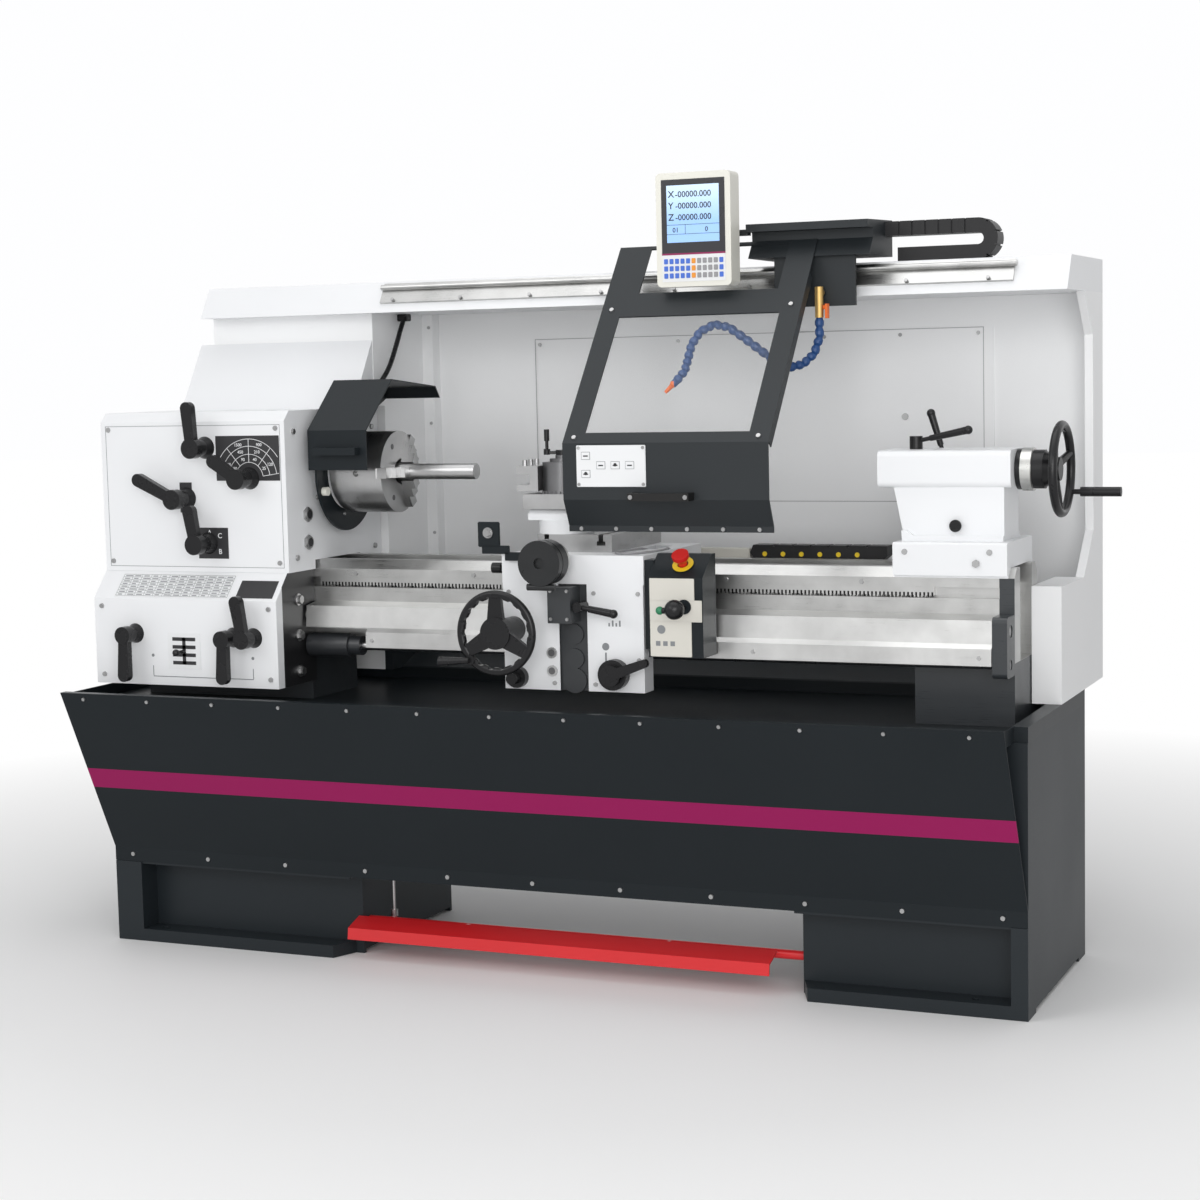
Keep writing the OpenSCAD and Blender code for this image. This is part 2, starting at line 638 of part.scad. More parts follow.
module pedal_link() color(steel) {
  z_rod(link_r, pedal_z + 20, fold_z + 10, link_x, link_y);
  z_rod(9, pedal_z + 5 + slip, pedal_z + 22, link_x, link_y);
}

// H-shaped saddle casting that spans the bed
module saddle() color(white_paint) difference() {
  along_x(saddle_x, saddle_x1) difference() {
    polygon([[apron_y, saddle_low], [apron_y, saddle_top], [bed_half + 16, saddle_top],
             [bed_half + 16, bed_top - 33],
             [bed_half + slip, bed_top - 33], [bed_half + slip, bed_top - vee + slip / 2],
             [bed_half - vee, bed_top + slip], [-bed_half + vee, bed_top + slip],
             [-bed_half - slip, bed_top - vee + slip / 2], [-bed_half - slip, saddle_low]]);
  }
  for (x = [saddle_x - 1, cross_x + cross_slide_w + 26])
    block([x, -bed_half + way_w + 6, bed_top - 20], [x + 44, bed_half - way_w - 6, saddle_top + 1]);
}

// apron: two bright plates beside a dark gear cover with a clutch block
module apron() color(white_paint) {
  strip_x0 = saddle_x + 146;
  strip_x1 = saddle_x + 218;
  block([saddle_x + 1, apron_y, apron_z0], [strip_x0, apron_back, saddle_low]);
  block([strip_x1, apron_y, apron_z0], [saddle_x1 - 2, apron_back, saddle_low]);
  block([strip_x0 - 1, apron_y + 7, apron_z0], [strip_x1 + 1, apron_back, saddle_low]);
  for (dz = [134, 76, 24])
    y_rod(dz == 24 ? 30 : 24, apron_y + 2, apron_y + 8, strip_x0 + 36, apron_z0 + dz);
  block([strip_x0 - 6, apron_y - 52, saddle_low - 88], [strip_x0 + 52, apron_y + 8, saddle_low - 4]);
}

module carriage_wheel() color(dark_plastic) translate([wheel_x, 0, wheel_z]) {
  face = apron_y - 112;
  y_rod(30, apron_y - 88, apron_y - slip, 0, 0);
  y_rod(38, face + 4, apron_y - 80, 0, 0);
  difference() {
    translate([0, face + 14, 0]) rotate([90, 0, 0]) rotate_extrude()
      translate([carriage_wheel_r - 20, -9]) round_rect(20, 18, 8);
    for (a = [0:20:340]) rotate([0, a, 0]) y_rod(9, face - 1, face + 30, carriage_wheel_r - 23, 0);
  }
  for (a = [90, 210, 330]) rotate([0, -a, 0])
    along_y(face + 8, face + 20)
      polygon([[20, -22], [carriage_wheel_r - 10, -14], [carriage_wheel_r - 10, 14], [20, 22]]);
  // folding grip on the rim
  rotate([0, -225, 0]) {
    y_rod(11, face - 2, face + 14, carriage_wheel_r - 11, 0);
    translate([carriage_wheel_r - 11, face - 6, 0]) rotate([0, 132, 0]) cylinder(r1 = 7, r2 = 11, h = 78);
  }
}

module cross_slide() color(steel) difference() {
  block([cross_x, cross_y0, saddle_top + slip], [cross_x + cross_slide_w, bed_half + 36, cross_top]);
  for (x = [cross_x + 24, cross_x + cross_slide_w - 28]) {
    block([x - 6, cross_y0 - 1, cross_top - 20], [x + 6, bed_half + 40, cross_top + 1]);
    block([x - 11, cross_y0 - 1, cross_top - 26], [x + 11, bed_half + 40, cross_top - 16]);
  }
}

// cup-shaped handwheel with its dial ring and a crank folded under it
module cross_wheel() color(dark_plastic) translate([cross_wheel_x, 0, cross_wheel_z]) {
  face = apron_y - 108;
  y_rod(26, apron_y - 40, apron_y - slip, 0, 0);
  y_rod(cross_wheel_r - 6, apron_y - 56, apron_y - 34, 0, 0);
  difference() {
    y_rod(cross_wheel_r, face, apron_y - 55, 0, 0);
    y_rod(13, face - 1, face + 8, 0, 0);
    translate([0, face + 20, 0]) rotate([90, 0, 0]) rotate_extrude()
      translate([cross_wheel_r - 3, -2]) square([6, 4]);
  }
  x_rod(8, -34, 36, face + 10, -cross_wheel_r - 3);
}

// round swivel plate and the fixed half of the top slide
module swivel_base() color(white_paint) {
  z_rod(66, cross_top + eps, swivel_top, post_x + 8, post_y);
  along_x(post_x - 70, post_x + 84)
    polygon([[post_y - 52, swivel_top - eps], [post_y - 52, swivel_top + 14], [post_y - 34, slide_base_top],
             [post_y + 34, slide_base_top], [post_y + 52, swivel_top + 14],
             [post_y + 52, swivel_top - eps]]);
}

module top_slide() color(steel) difference() {
  block([post_x - 84, post_y - 50, slide_base_top + slip], [post_x + 126, post_y + 50, slide_top]);
  x_rod(9 + run, post_x + 80, post_x + 127, post_y, slide_base_top + 20);
}

module top_slide_crank() color(dark_plastic) {
  z = slide_base_top + 20;
  x_rod(9, post_x + 90, post_x + 140, post_y, z);
  x_rod(22, post_x + 126 + slip, post_x + 156, post_y, z);
  for (s = [-1, 1]) {
    translate([post_x + 148, post_y, z]) rotate([s * 90 + 90, 0, 0]) z_rod(5, 0, 46, 0, 0);
    translate([post_x + 148, post_y - s * 0, z + s * 46]) sphere(10);
  }
}

// round quick-change post, flat where the holder clamps
module tool_post() color(iron) difference() {
  union() {
    z_rod(50, slide_top, slide_top + 7, post_x, post_y);
    z_rod(48, slide_top, post_top - 14, post_x, post_y);
    z_rod(30, post_top - 15, post_top - 6, post_x, post_y);
    z_rod(16, post_top - 8, post_top + 2, post_x, post_y);
  }
  block([post_x - 60, post_y - 60, slide_top + 7], [post_x - 42, post_y + 60, post_top]);
  for (a = [0:12:348]) translate([post_x, post_y, 0]) rotate([0, 0, a])
    z_rod(1.6, slide_top - 1, slide_top + 8, 50, 0);
}

// tool holder, its slot open to the left, with three clamp screws
module tool_holder() color(steel) {
  x1 = post_x - 42;
  x0 = x1 - 56;
  slot_z = holder_z + (holder_h - tool_slot_h) * 0.42;
  along_y(post_y - 52, post_y + 48)
    polygon([[x0, holder_z], [x1, holder_z], [x1, holder_z + holder_h], [x0, holder_z + holder_h],
             [x0, slot_z + tool_slot_h], [x0 + 34, slot_z + tool_slot_h], [x0 + 34, slot_z], [x0, slot_z]]);
  for (dy = [-36, -2, 32])
    z_rod(6, holder_z + holder_h - eps, holder_z + holder_h + 14, x0 + 16, post_y + dy);
}

module tool_post_lever() color(dark_plastic) {
  z = post_top + 2 + slip;
  z_rod(15, z, z + 12, post_x, post_y);
  translate([post_x, post_y, z + 2]) rotate([0, 0, 200]) {
    block([0, -5, 0], [34, 5, 8]);
    z_rod(8, -1, 13, 36, 0);
    z_rod(4, 0, 52, 36, 0);
    z_rod(6.5, 32, 60, 36, 0);
  }
}

// lever that engages the power feed, on the clutch block's right side
module engage_lever() color(dark_plastic) {
  x = saddle_x + 211;
  z = saddle_low - 50;
  y_rod(12, apron_y - 44, apron_y - slip, x, z);
  translate([x, apron_y - 34, z]) rotate([0, 98, -8]) {
    cylinder(r = 6, h = 34);
    translate([0, 0, 30]) cylinder(r1 = 8, r2 = 9.5, h = 66);
    translate([0, 0, 96]) sphere(10.5);
  }
}

module half_nut_lever() color(dark_plastic) translate([half_nut_x, apron_y - slip, half_nut_z]) {
  y_rod(36, -24, 0, 0, 0);
  y_rod(25, -40, -23, 0, 0);
  rotate([0, -20, 0]) along_y(-42, -28) {
    polygon([[0, -13], [92, -10], [92, 10], [0, 13]]);
    translate([92, 0]) circle(10);
  }
}

// switch box beside the apron, its leaning top carries the stop button
button_x = box_x0 + 98;
button_tilt = atan2(box_top - box_z1, 65);
button_y = box_y0 + 33;
button_z = box_z1 + 33 * (box_top - box_z1) / 65;
module on_button() translate([button_x, button_y, button_z]) rotate([button_tilt, 0, 0]) children();

module control_box() color(anthracite) difference() {
  control_box_body();
  on_button() z_rod(11 + slip, -9, 4, 0, 0);
}
module control_box_body() {
  along_x(box_x0 + 22, box_x1)
    polygon([[box_y0, box_z0], [box_y0, box_z1], [box_y0 + 65, box_top], [box_y1, box_top],
             [box_y1, box_z0]]);
  block([box_x0, apron_y + 6, box_z0 + 14], [box_x0 + 23, box_y1 - 2, box_top - 14]);
  on_button() z_rod(26, -1, 3, 0, 0);
  y_rod(17, box_y0 - 6, box_y0 + 1, box_x0 + 112, box_z0 + 118);
}

module joystick() color(dark_plastic) translate([box_x0 + 112, box_y0 - 6 - slip, box_z0 + 118]) {
  y_rod(7, -50, -4 + eps, 0, 0);
  rotate([90, 0, 0]) cylinder(r1 = 1, r2 = 7, h = 4);
  translate([0, -58, 0]) sphere(23);
  x_rod(7, -38, -16, -62, -2);
  translate([-34, -62, -2]) sphere(9);
}

module stop_button() color([0.8, 0.08, 0.08]) on_button() {
  z_rod(11, 3 + slip, 22, 0, 0);
  translate([0, 0, 16]) cylinder(r1 = 14, r2 = 20, h = 10);
  z_rod(20, 25, 34, 0, 0);
}

// frame of the leaning face, in its own plane: x across, y up the slope from the fold
module shield_face() difference() {
  square([shield_w, slope_l - 16]);
  translate([shield_bar_w, 30]) square([shield_w - 2 * shield_bar_w, 348]);
  translate([shield_bar_w + 34, 450]) square([shield_w - 2 * shield_bar_w - 52, 140]);
}
module on_slope() translate([shield_x, fold_y, fold_top]) rotate([slope, 0, 0]) children();

module shield_frame() color(anthracite) {
  on_slope() {
    translate([0, 0, -shield_t]) linear_extrude(shield_t) shield_face();
    // turned-back edges along both sides
    for (x = [0, shield_w - 3]) block([x, 4, -26], [x + 3, slope_l - 116, -shield_t + eps]);
  }
  // upright panel, inward fold and bottom lip
  along_x(shield_x, shield_x1)
    polygon([[fold_y, fold_top], [fold_y, panel_low], [lip_y, lip_z + 14], [lip_y, lip_z],
             [lip_y + shield_t, lip_z],
             [lip_y + shield_t, lip_z + 15], [fold_y + shield_t, panel_low + 1],
             [fold_y + shield_t, fold_top]]);
  // bow handle under the button plate
  z = panel_low + 8;
  block([shield_x + 176, fold_y - 38, z - 9], [shield_x + 326, fold_y - 26, z + 9]);
  for (x = [shield_x + 176, shield_x + 310]) block([x, fold_y - 27, z - 9], [x + 16, fold_y + eps, z + 9]);
}

module shield_window() color([0.8, 0.9, 0.95, 0.4]) on_slope()
  translate([0, 0, -shield_t - 4]) linear_extrude(4)
    translate([shield_bar_w - 10, 20]) square([shield_w - 2 * shield_bar_w + 20, 368]);

// sheet housing that hangs on the hood's rail and holds the shield's top end
function slope_at(s, back) =
  [fold_y + s * cos(slope) + back * sin(slope), fold_top + s * sin(slope) - back * cos(slope)];
module on_hood() translate([0, hood_y0, hood_low]) rotate([hood_slant, 0, 0]) children();
module shield_carrier() color(anthracite) {
  y_front = hood_y0 - 28;
  seat_x = shield_x + 440;
  along_x(carrier_x0, carrier_x1)
    polygon([slope_at(slope_l - 66, shield_t + 0.05), slope_at(slope_l - 14, shield_t + 0.05),
        [y_front + 14, hood_z + 78],
             [y_front - 30, hood_z + 78], [y_front - 30, hood_z + 96], [hood_y0 + 150, hood_z + 102],
             [hood_y0 + 150, hood_z + 15]]);
  block([shield_x + 400, y_front, hood_low - 22], [shield_x + 600, y_front + 10, hood_z + 32]);
  block([seat_x, y_front + 9, hood_low + 56], [seat_x + 120, hood_y0 + 13, hood_low + 71]);
  readout_arm();
  // tap body above the hose, and the pipe that holds it
  tap_z = hose_at(0)[2];
  z_rod(10, tap_z, tap_z + 72, hose_at(0)[0], hose_at(0)[1]);
  y_rod(9, hose_at(0)[1], y_front + 1, hose_at(0)[0], tap_z + 58);
  // slider that clasps the rail
  on_hood() difference() {
    block([seat_x, rail_s - 14, 8], [seat_x + 120, rail_s + 14, 24]);
    x_rod(rail_r + run, seat_x - 1, seat_x + 121, rail_s, rail_r + 6);
  }
}

// readout that swivels on a pin through the carrier's arm
readout_x = shield_x + 238;
arm_y = hood_y0 - 35;
arm_z = hood_z + 71;
arm_h = 14;
pin_r = 7;
module readout_arm() difference() {
  block([readout_x - 14, arm_y - 11, arm_z], [carrier_x0 + 1, arm_y + 11, arm_z + arm_h]);
  z_rod(pin_r + run, arm_z - 1, arm_z + arm_h + 1, readout_x, arm_y);
}
module readout_case() color([0.9, 0.89, 0.84]) {
  back = arm_y - 45;
  translate([readout_x - readout_w / 2, back, hood_z + 86 - readout_h / 2]) rotate([90, 0, 0])
    linear_extrude(60)
    round_rect(readout_w, readout_h, 12);
  z_rod(pin_r, arm_z - 15, arm_z + arm_h + 15, readout_x, arm_y);
  for (z = [arm_z - 15, arm_z + arm_h + slip])
    block([readout_x - 11, back - 1, z], [readout_x + 11, arm_y + 9, z + 15 - slip]);
}

// ball-segment coolant hose: rings of changing radius along hand-set stations, ending in a nozzle
hose_points = [[519, 62, 1546], [519, 62, 1500], [506, 60, 1462], [480, 54, 1438], [448, 44, 1430],
               [418, 30, 1446],
               [386, 14, 1474], [352, 2, 1502], [318, -8, 1528], [284, -16, 1536], [252, -26, 1520],
               [234, -38, 1490],
               [228, -48, 1456], [222, -56, 1428], [202, -62, 1404]];
hose_end = len(hose_points) - 1;
hose_ring = 12;
bead_steps = [[0, 7.5], [0.18, 11], [0.36, 11], [0.5, 7.5], [0.68, 11], [0.86, 11]];
nozzle = [-26, -5, -26];
function hose_at(i) = [shield_x + hose_points[i][0], hose_points[i][1], hood_z + hose_points[i][2] - 1675];
function hose_run(i) = hose_at(min(i + 1, hose_end)) - hose_at(max(i - 1, 0));
function unit(d) = d / norm(d);
function hose_stations() = concat(
  [for (i = [0:hose_end - 1], k = bead_steps)
    [hose_at(i) + k[0] * (hose_at(i + 1) - hose_at(i)),
    unit(hose_run(i)) * (1 - k[0]) + unit(hose_run(i + 1)) * k[0], k[1]]],
  [for (k = [[0, 9], [0.3, 9], [0.4, 6], [1, 4]]) [hose_at(hose_end) + k[0] * nozzle, nozzle, k[1]]]);
module coolant_hose() color([0.1, 0.3, 0.7]) {
  stations = hose_stations();
  n = hose_ring;
  points = [for (k = stations) let (u = unit(cross(k[1], [0, 1, 0])), w = cross(unit(k[1]), u))
    for (j = [0:n - 1]) k[0] + k[2] * (cos(360 * j / n) * u + sin(360 * j / n) * w)];
  last = len(stations) - 1;
  sides = [for (i = [0:last - 1], j = [0:n - 1]) let (a = i * n + j, b = i * n + (j + 1) % n)
    each [[a, a + n, b + n], [a, b + n, b]]];
  polyhedron(points, concat([[for (j = [0:n - 1]) j]], [[for (j = [n - 1:-1:0]) last * n + j]], sides));
}

// brass elbow and tap body behind the shield, with its lever
tap = hose_at(0) + [0, 0, 12];
module coolant_tap() color([0.95, 0.45, 0.1]) {
  translate(tap + [10 + slip, 0, 12]) {
    x_rod(5, 0, 8, 0, 0);
    block([6, -8, -26], [12, 8, 8]);
  }
}

// link chain on the hood for the shield's cables
chain_y = hood_y0 + 90;
chain_w = 60;
chain_h = 34;
chain_r = 14;
chain_x0 = carrier_x1;
chain_x1 = cab_x - 229;
chain_links = floor((chain_x1 - chain_x0) / 32) - 1;
module cable_chain() color(dark_plastic) {
  low = hood_z + slip;
  mid = low + chain_h + chain_r;
  difference() {
    along_y(chain_y, chain_y + chain_w) {
      translate([chain_x0, mid + chain_r]) square([chain_x1 - chain_x0, chain_h]);
      translate([chain_x0 + 30, low]) square([chain_x1 - chain_x0 - 30, chain_h]);
      difference() {
        translate([chain_x1, mid]) circle(chain_r + chain_h);
        translate([chain_x1, mid]) circle(chain_r);
        translate([chain_x1 - 100, mid - 100]) square([100, 200]);
      }
    }
    for (i = [1:1:chain_links]) {
      block([chain_x0 + i * 32, chain_y - 1, mid + chain_r + chain_h - 5],
            [chain_x0 + i * 32 + 4, chain_y + chain_w + 1, mid + chain_r + chain_h + 1]);
      block([chain_x0 + i * 32, chain_y - 1, mid + chain_r - 1],
          [chain_x0 + i * 32 + 4, chain_y + 4, mid + chain_r + chain_h]);
    }
    for (a = [-60, -20, 20, 60]) translate([chain_x1, 0, mid]) rotate([0, a, 0])
      block([chain_r + chain_h - 5, chain_y - 1, -2], [chain_r + chain_h + 1, chain_y + chain_w + 1, 2]);
  }
}

// flat-lying chain on the ledge behind the bed
module rear_chain() color(dark_plastic) {
  x0 = saddle_x + 496;
  x1 = saddle_x + 832;
  z = bed_top - 11 + eps;
  difference() {
    along_y(bed_half + 34, bed_half + 80)
      polygon([[x0, z], [x0 - 12, z + 20], [x0 - 4, z + 38], [x1, z + 38], [x1, z + 14], [x1 - 16, z]]);
    for (i = [1:6]) block([x0 + i * 47, bed_half + 33, z + 34], [x0 + i * 47 + 5, bed_half + 81, z + 39]);
  }
}

module tailstock_base() color(white_paint)
  along_x(tail_base_x0, tail_base_x1)
    polygon([[-bed_half - 11, bed_top - 16], [-bed_half - 11, tail_base_top - 4],
             [-bed_half - 7, tail_base_top],
             [bed_half + 7, tail_base_top], [bed_half + 11, tail_base_top - 4],
             [bed_half + 11, bed_top - 16],
             [bed_half + slip, bed_top - 16], [bed_half + slip, bed_top - vee + slip / 2],
             [bed_half - vee, bed_top + slip],
             [-bed_half + vee, bed_top + slip], [-bed_half - slip, bed_top - vee + slip / 2],
             [-bed_half - slip, bed_top - 16]]);

// barrel on a narrowing foot
module tailstock_body() color(white_paint) difference() {
  union() {
    along_x(tailstock_x, tail_x1)
      translate([-barrel_half, barrel_low]) round_rect(2 * barrel_half, barrel_top - barrel_low, 14);
    along_y(-barrel_half + 10, barrel_half - 10)
      polygon([[tail_base_x0 + 14, tail_base_top], [tail_x1 - 17, tail_base_top],
               [tail_x1 - 17, barrel_low + 20],
               [tailstock_x + 14, barrel_low + 20], [tailstock_x + 36, barrel_low]]);
    along_y(-barrel_half, barrel_half)
      polygon([[tail_base_x0 + 10, tail_base_top], [tail_x1 - 17, tail_base_top],
               [tail_x1 - 17, tail_base_top + 12],
               [tail_base_x0 + 36, tail_base_top + 12], [tail_base_x0 + 22, tail_base_top + 24],
               [tail_base_x0 + 8, tail_base_top + 24]]);
  }
  x_rod(quill_r + run, tailstock_x - 1, tail_x1 + 1, 0, axis_z);
}

module quill() color(steel) difference() {
  x_rod(quill_r, tailstock_x - 10, tail_x1 - 20, 0, axis_z);
  translate([tailstock_x - 11, 0, axis_z]) rotate([0, 90, 0]) cylinder(r1 = 16, r2 = 12.5, h = 110);
}

// dial collar, dished wheel on three spokes and a grip
module tail_wheel() color(dark_plastic) {
  x0 = tail_x1 + slip;
  hub = 46;
  rim_x = x0 + 98;
  x_rod(hub, x0, x0 + 12, 0, axis_z);
  x_rod(hub + 3, x0 + 12 - eps, x0 + 36, 0, axis_z);
  x_rod(hub - 2, x0 + 36 - eps, x0 + 62, 0, axis_z);
  rotate_about_axis(x0 + 62 - eps) polygon([[0, 0], [hub - 4, 0], [30, 16], [26, 34], [0, 34]]);
  rotate_about_axis(rim_x) translate([tail_wheel_r - 10, 0]) circle(10);
  for (a = [20, 140, 260]) translate([0, 0, axis_z]) rotate([a, 0, 0])
    between([x0 + 80, 10, 0], [rim_x, tail_wheel_r - 10, 0], 11, 8);
  translate([0, 0, axis_z]) rotate([55, 0, 0]) {
    x_rod(6, rim_x, rim_x + 30, 0, -tail_wheel_r + 12);
    x_rod(11, rim_x + 26, rim_x + 118, 0, -tail_wheel_r + 12);
  }
}

module grip(a, b) {
  between(a, a + 0.3 * (b - a), 5, 5);
  between(a + 0.28 * (b - a), b, 7, 9);
  translate(b) sphere(10);
}

module quill_lever() color(dark_plastic) {
  x = tailstock_x + 70;
  z_rod(15, barrel_top + slip, barrel_top + 30, x, 0);
  grip([x, 0, barrel_top + 18], [x + 132, -38, barrel_top + 44]);
}

module clamp_lever() color(dark_plastic) {
  x = tailstock_x + 112;
  y = barrel_half + slip;
  y_rod(16, y, y + 26, x, barrel_top - 24);
  grip([x, y + 15, barrel_top - 24], [x - 32, y + 15, barrel_top + 80]);
}

pedestals();
front_panel();
chip_tray();
rear_guard();
guard_hood();
hood_rail();
bed();
rack();
screw_covers();
headstock();
headstock_covers();
gearbox();
spindle();
spindle_bearings();
chuck_body();
chuck_jaws();
bar_stock();
chuck_guard();
speed_lever_right();
speed_lever_top();
speed_lever_left();
speed_lever_low();
feed_lever_left();
feed_lever_mid();
feed_lever_right();
selector_stick();
leadscrew();
feed_rod();
brake_pedal();
pedal_link();
saddle();
apron();
carriage_wheel();
cross_slide();
cross_wheel();
swivel_base();
top_slide();
top_slide_crank();
tool_post();
tool_holder();
tool_post_lever();
engage_lever();
half_nut_lever();
control_box();
joystick();
stop_button();
shield_frame();
shield_window();
shield_carrier();
readout_case();
coolant_hose();
coolant_tap();
cable_chain();
rear_chain();
tailstock_base();
tailstock_body();
quill();
tail_wheel();
quill_lever();
clamp_lever();
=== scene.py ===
import math

import bmesh
import bpy
from mathutils import Matrix, Vector


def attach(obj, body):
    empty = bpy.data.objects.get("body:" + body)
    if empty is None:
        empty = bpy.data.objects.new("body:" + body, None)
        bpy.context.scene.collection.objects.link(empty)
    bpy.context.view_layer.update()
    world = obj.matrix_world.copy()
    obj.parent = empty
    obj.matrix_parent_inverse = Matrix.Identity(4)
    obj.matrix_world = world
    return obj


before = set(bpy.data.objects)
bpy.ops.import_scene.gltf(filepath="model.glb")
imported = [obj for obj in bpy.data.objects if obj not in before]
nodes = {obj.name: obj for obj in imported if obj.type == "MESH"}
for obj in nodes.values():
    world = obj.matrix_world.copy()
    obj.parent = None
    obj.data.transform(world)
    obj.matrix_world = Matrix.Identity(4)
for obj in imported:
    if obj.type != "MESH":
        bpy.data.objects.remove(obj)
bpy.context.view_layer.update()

MM = 0.001
scene = bpy.context.scene
scene.view_settings.view_transform = "Standard"


def v(x, y, z):
    """A point given in millimetres, as metres."""
    return Vector((x, y, z)) * MM


class S:
    """Shader maths: one output socket, whose operators add the Math nodes."""

    def __init__(self, tree, socket):
        self.tree, self.socket = tree, socket

    def node(self, kind, settings=None, sockets=None, out=0):
        n = self.tree.nodes.new(kind)
        for key, value in (settings or {}).items():
            setattr(n, key, value)
        for key, value in (sockets or {}).items():
            if isinstance(value, S):
                self.tree.links.new(value.socket, n.inputs[key])
            else:
                n.inputs[key].default_value = value
        return S(self.tree, n.outputs[out])

    def math(self, op, other=None, swap=False):
        a, b = (other, self) if swap else (self, other)
        sockets = {0: a} if b is None else {0: a, 1: b}
        return self.node("ShaderNodeMath", {"operation": op}, sockets)

    def __add__(self, o):
        return self.math("ADD", o)

    def __radd__(self, o):
        return self.math("ADD", o)

    def __sub__(self, o):
        return self.math("SUBTRACT", o)

    def __rsub__(self, o):
        return self.math("SUBTRACT", o, swap=True)

    def __mul__(self, o):
        return self.math("MULTIPLY", o)

    def __rmul__(self, o):
        return self.math("MULTIPLY", o)

    def __truediv__(self, o):
        return self.math("DIVIDE", o)

    def __gt__(self, o):
        return self.math("GREATER_THAN", o)

    def __lt__(self, o):
        return self.math("LESS_THAN", o)

    def clamp(self):
        return self.node("ShaderNodeClamp", {}, {0: self})

    def mix(self, a, b):
        """a where this value is 0 and b where it is 1, for colours."""
        return self.node("ShaderNodeMix", {"data_type": "RGBA"}, {0: self, 6: a, 7: b}, 2)

    def noise(self, scale, detail=3.0, rough=0.55):
        sockets = {"Vector": self, "Scale": scale, "Detail": detail, "Roughness": rough}
        return self.node("ShaderNodeTexNoise", {}, sockets)

    def xyz(self):
        n = self.node("ShaderNodeSeparateXYZ", {}, {0: self})
        outs = n.socket.node.outputs
        return S(self.tree, outs[0]), S(self.tree, outs[1]), S(self.tree, outs[2])


def rgba(c):
    return (c[0], c[1], c[2], 1.0)


def between(value, low, high):
    """1 where a value lies between low and high, and 0 elsewhere."""
    return (value > low) * (value < high)


class Mat:
    """A material with one Principled shader; p is the position in metres in the row frame."""

    def __init__(self, name, color, rough=0.5, metal=0.0, coat=0.0):
        self.mat = bpy.data.materials.new(name)
        self.mat.use_nodes = True
        self.tree = self.mat.node_tree
        self.bsdf = self.tree.nodes["Principled BSDF"]
        self.p = S(self.tree, None).node("ShaderNodeTexCoord", out="Object")
        self.put("Base Color", rgba(color))
        self.put("Roughness", rough)
        self.put("Metallic", metal)
        self.put("Coat Weight", coat)

    def put(self, name, value):
        if isinstance(value, S):
            self.tree.links.new(value.socket, self.bsdf.inputs[name])
        else:
            self.bsdf.inputs[name].default_value = value

    def bump(self, height, strength, distance):
        n = self.p.node("ShaderNodeBump", {}, {"Strength": strength, "Distance": distance, "Height": height})
        self.put("Normal", n)


def paint(name, color, rough=0.42, grain=0.12, scale=900.0, gloss=0.5, shade=0.86):
    """Powder coat or enamel: orange-peel grain, slightly uneven gloss and shade."""
    m = Mat(name, color, rough)
    fine = m.p.noise(scale, 2.0)
    broad = m.p.noise(2.2, 4.0)
    dark = [c * shade for c in color]
    m.color = ((broad - 0.35) * 1.6).clamp().mix(rgba(dark), rgba(color))
    m.put("Base Color", m.color)
    m.put("Specular IOR Level", gloss)
    m.put("Roughness", (fine - 0.5) * 0.16 + (broad - 0.5) * 0.14 + rough)
    m.bump(fine, grain, 0.0006)
    return m


def metal(name, color, rough=0.3, stretch=(1.0, 1.0, 1.0), scale=700.0, deep=0.12):
    """Machined metal with cutting marks that run along the axis of least stretch."""
    m = Mat(name, color, rough, 1.0)
    mapped = m.p.node("ShaderNodeMapping", {}, {"Vector": m.p, "Scale": stretch})
    marks = mapped.noise(scale, 4.0, 0.65)
    stain = m.p.noise(9.0, 5.0)
    dark = [c * 0.72 for c in color]
    m.color = ((stain - 0.3) * 1.8).clamp().mix(rgba(dark), rgba(color))
    m.put("Base Color", m.color)
    m.put("Roughness", (marks - 0.5) * 0.3 + (stain - 0.5) * 0.15 + rough)
    m.bump(marks, deep, 0.0004)
    return m


def plastic(name, color, rough=0.45, grain=0.1, gloss=0.5):
    """Moulded plastic or print: fine grain, with gloss worn unevenly."""
    m = Mat(name, color, rough)
    m.put("Specular IOR Level", gloss)
    fine = m.p.noise(1400.0, 2.0)
    worn = m.p.noise(14.0, 4.0)
    m.put("Roughness", (worn - 0.5) * 0.2 + rough)
    m.bump(fine, grain, 0.0003)
    return m


def dial_wheel(name, color, axis, edges, bright, rough):
    """A dark wheel with a bright dial ring between two edges along one axis."""
    m = Mat(name, color, 0.36)
    ring = between(m.p.xyz()[axis], *edges)
    m.put("Base Color", ring.mix(rgba(color), rgba(bright)))
    m.put("Metallic", ring)
    m.put("Roughness", m.p.noise(30.0) * 0.2 + rough)
    m.put("Specular IOR Level", 0.3)
    return m


# Colours of the finishes.
ANTHRACITE = (0.013, 0.017, 0.02)
WHITE = (0.85, 0.86, 0.875)
MAGENTA = (0.27, 0.008, 0.085)
BLACK = (0.012, 0.012, 0.013)
DARK_COVER = (0.03, 0.033, 0.036)
SHIELD_GREY = (0.016, 0.02, 0.023)
BRASS = (0.62, 0.42, 0.16)
ORANGE = (0.85, 0.16, 0.02)

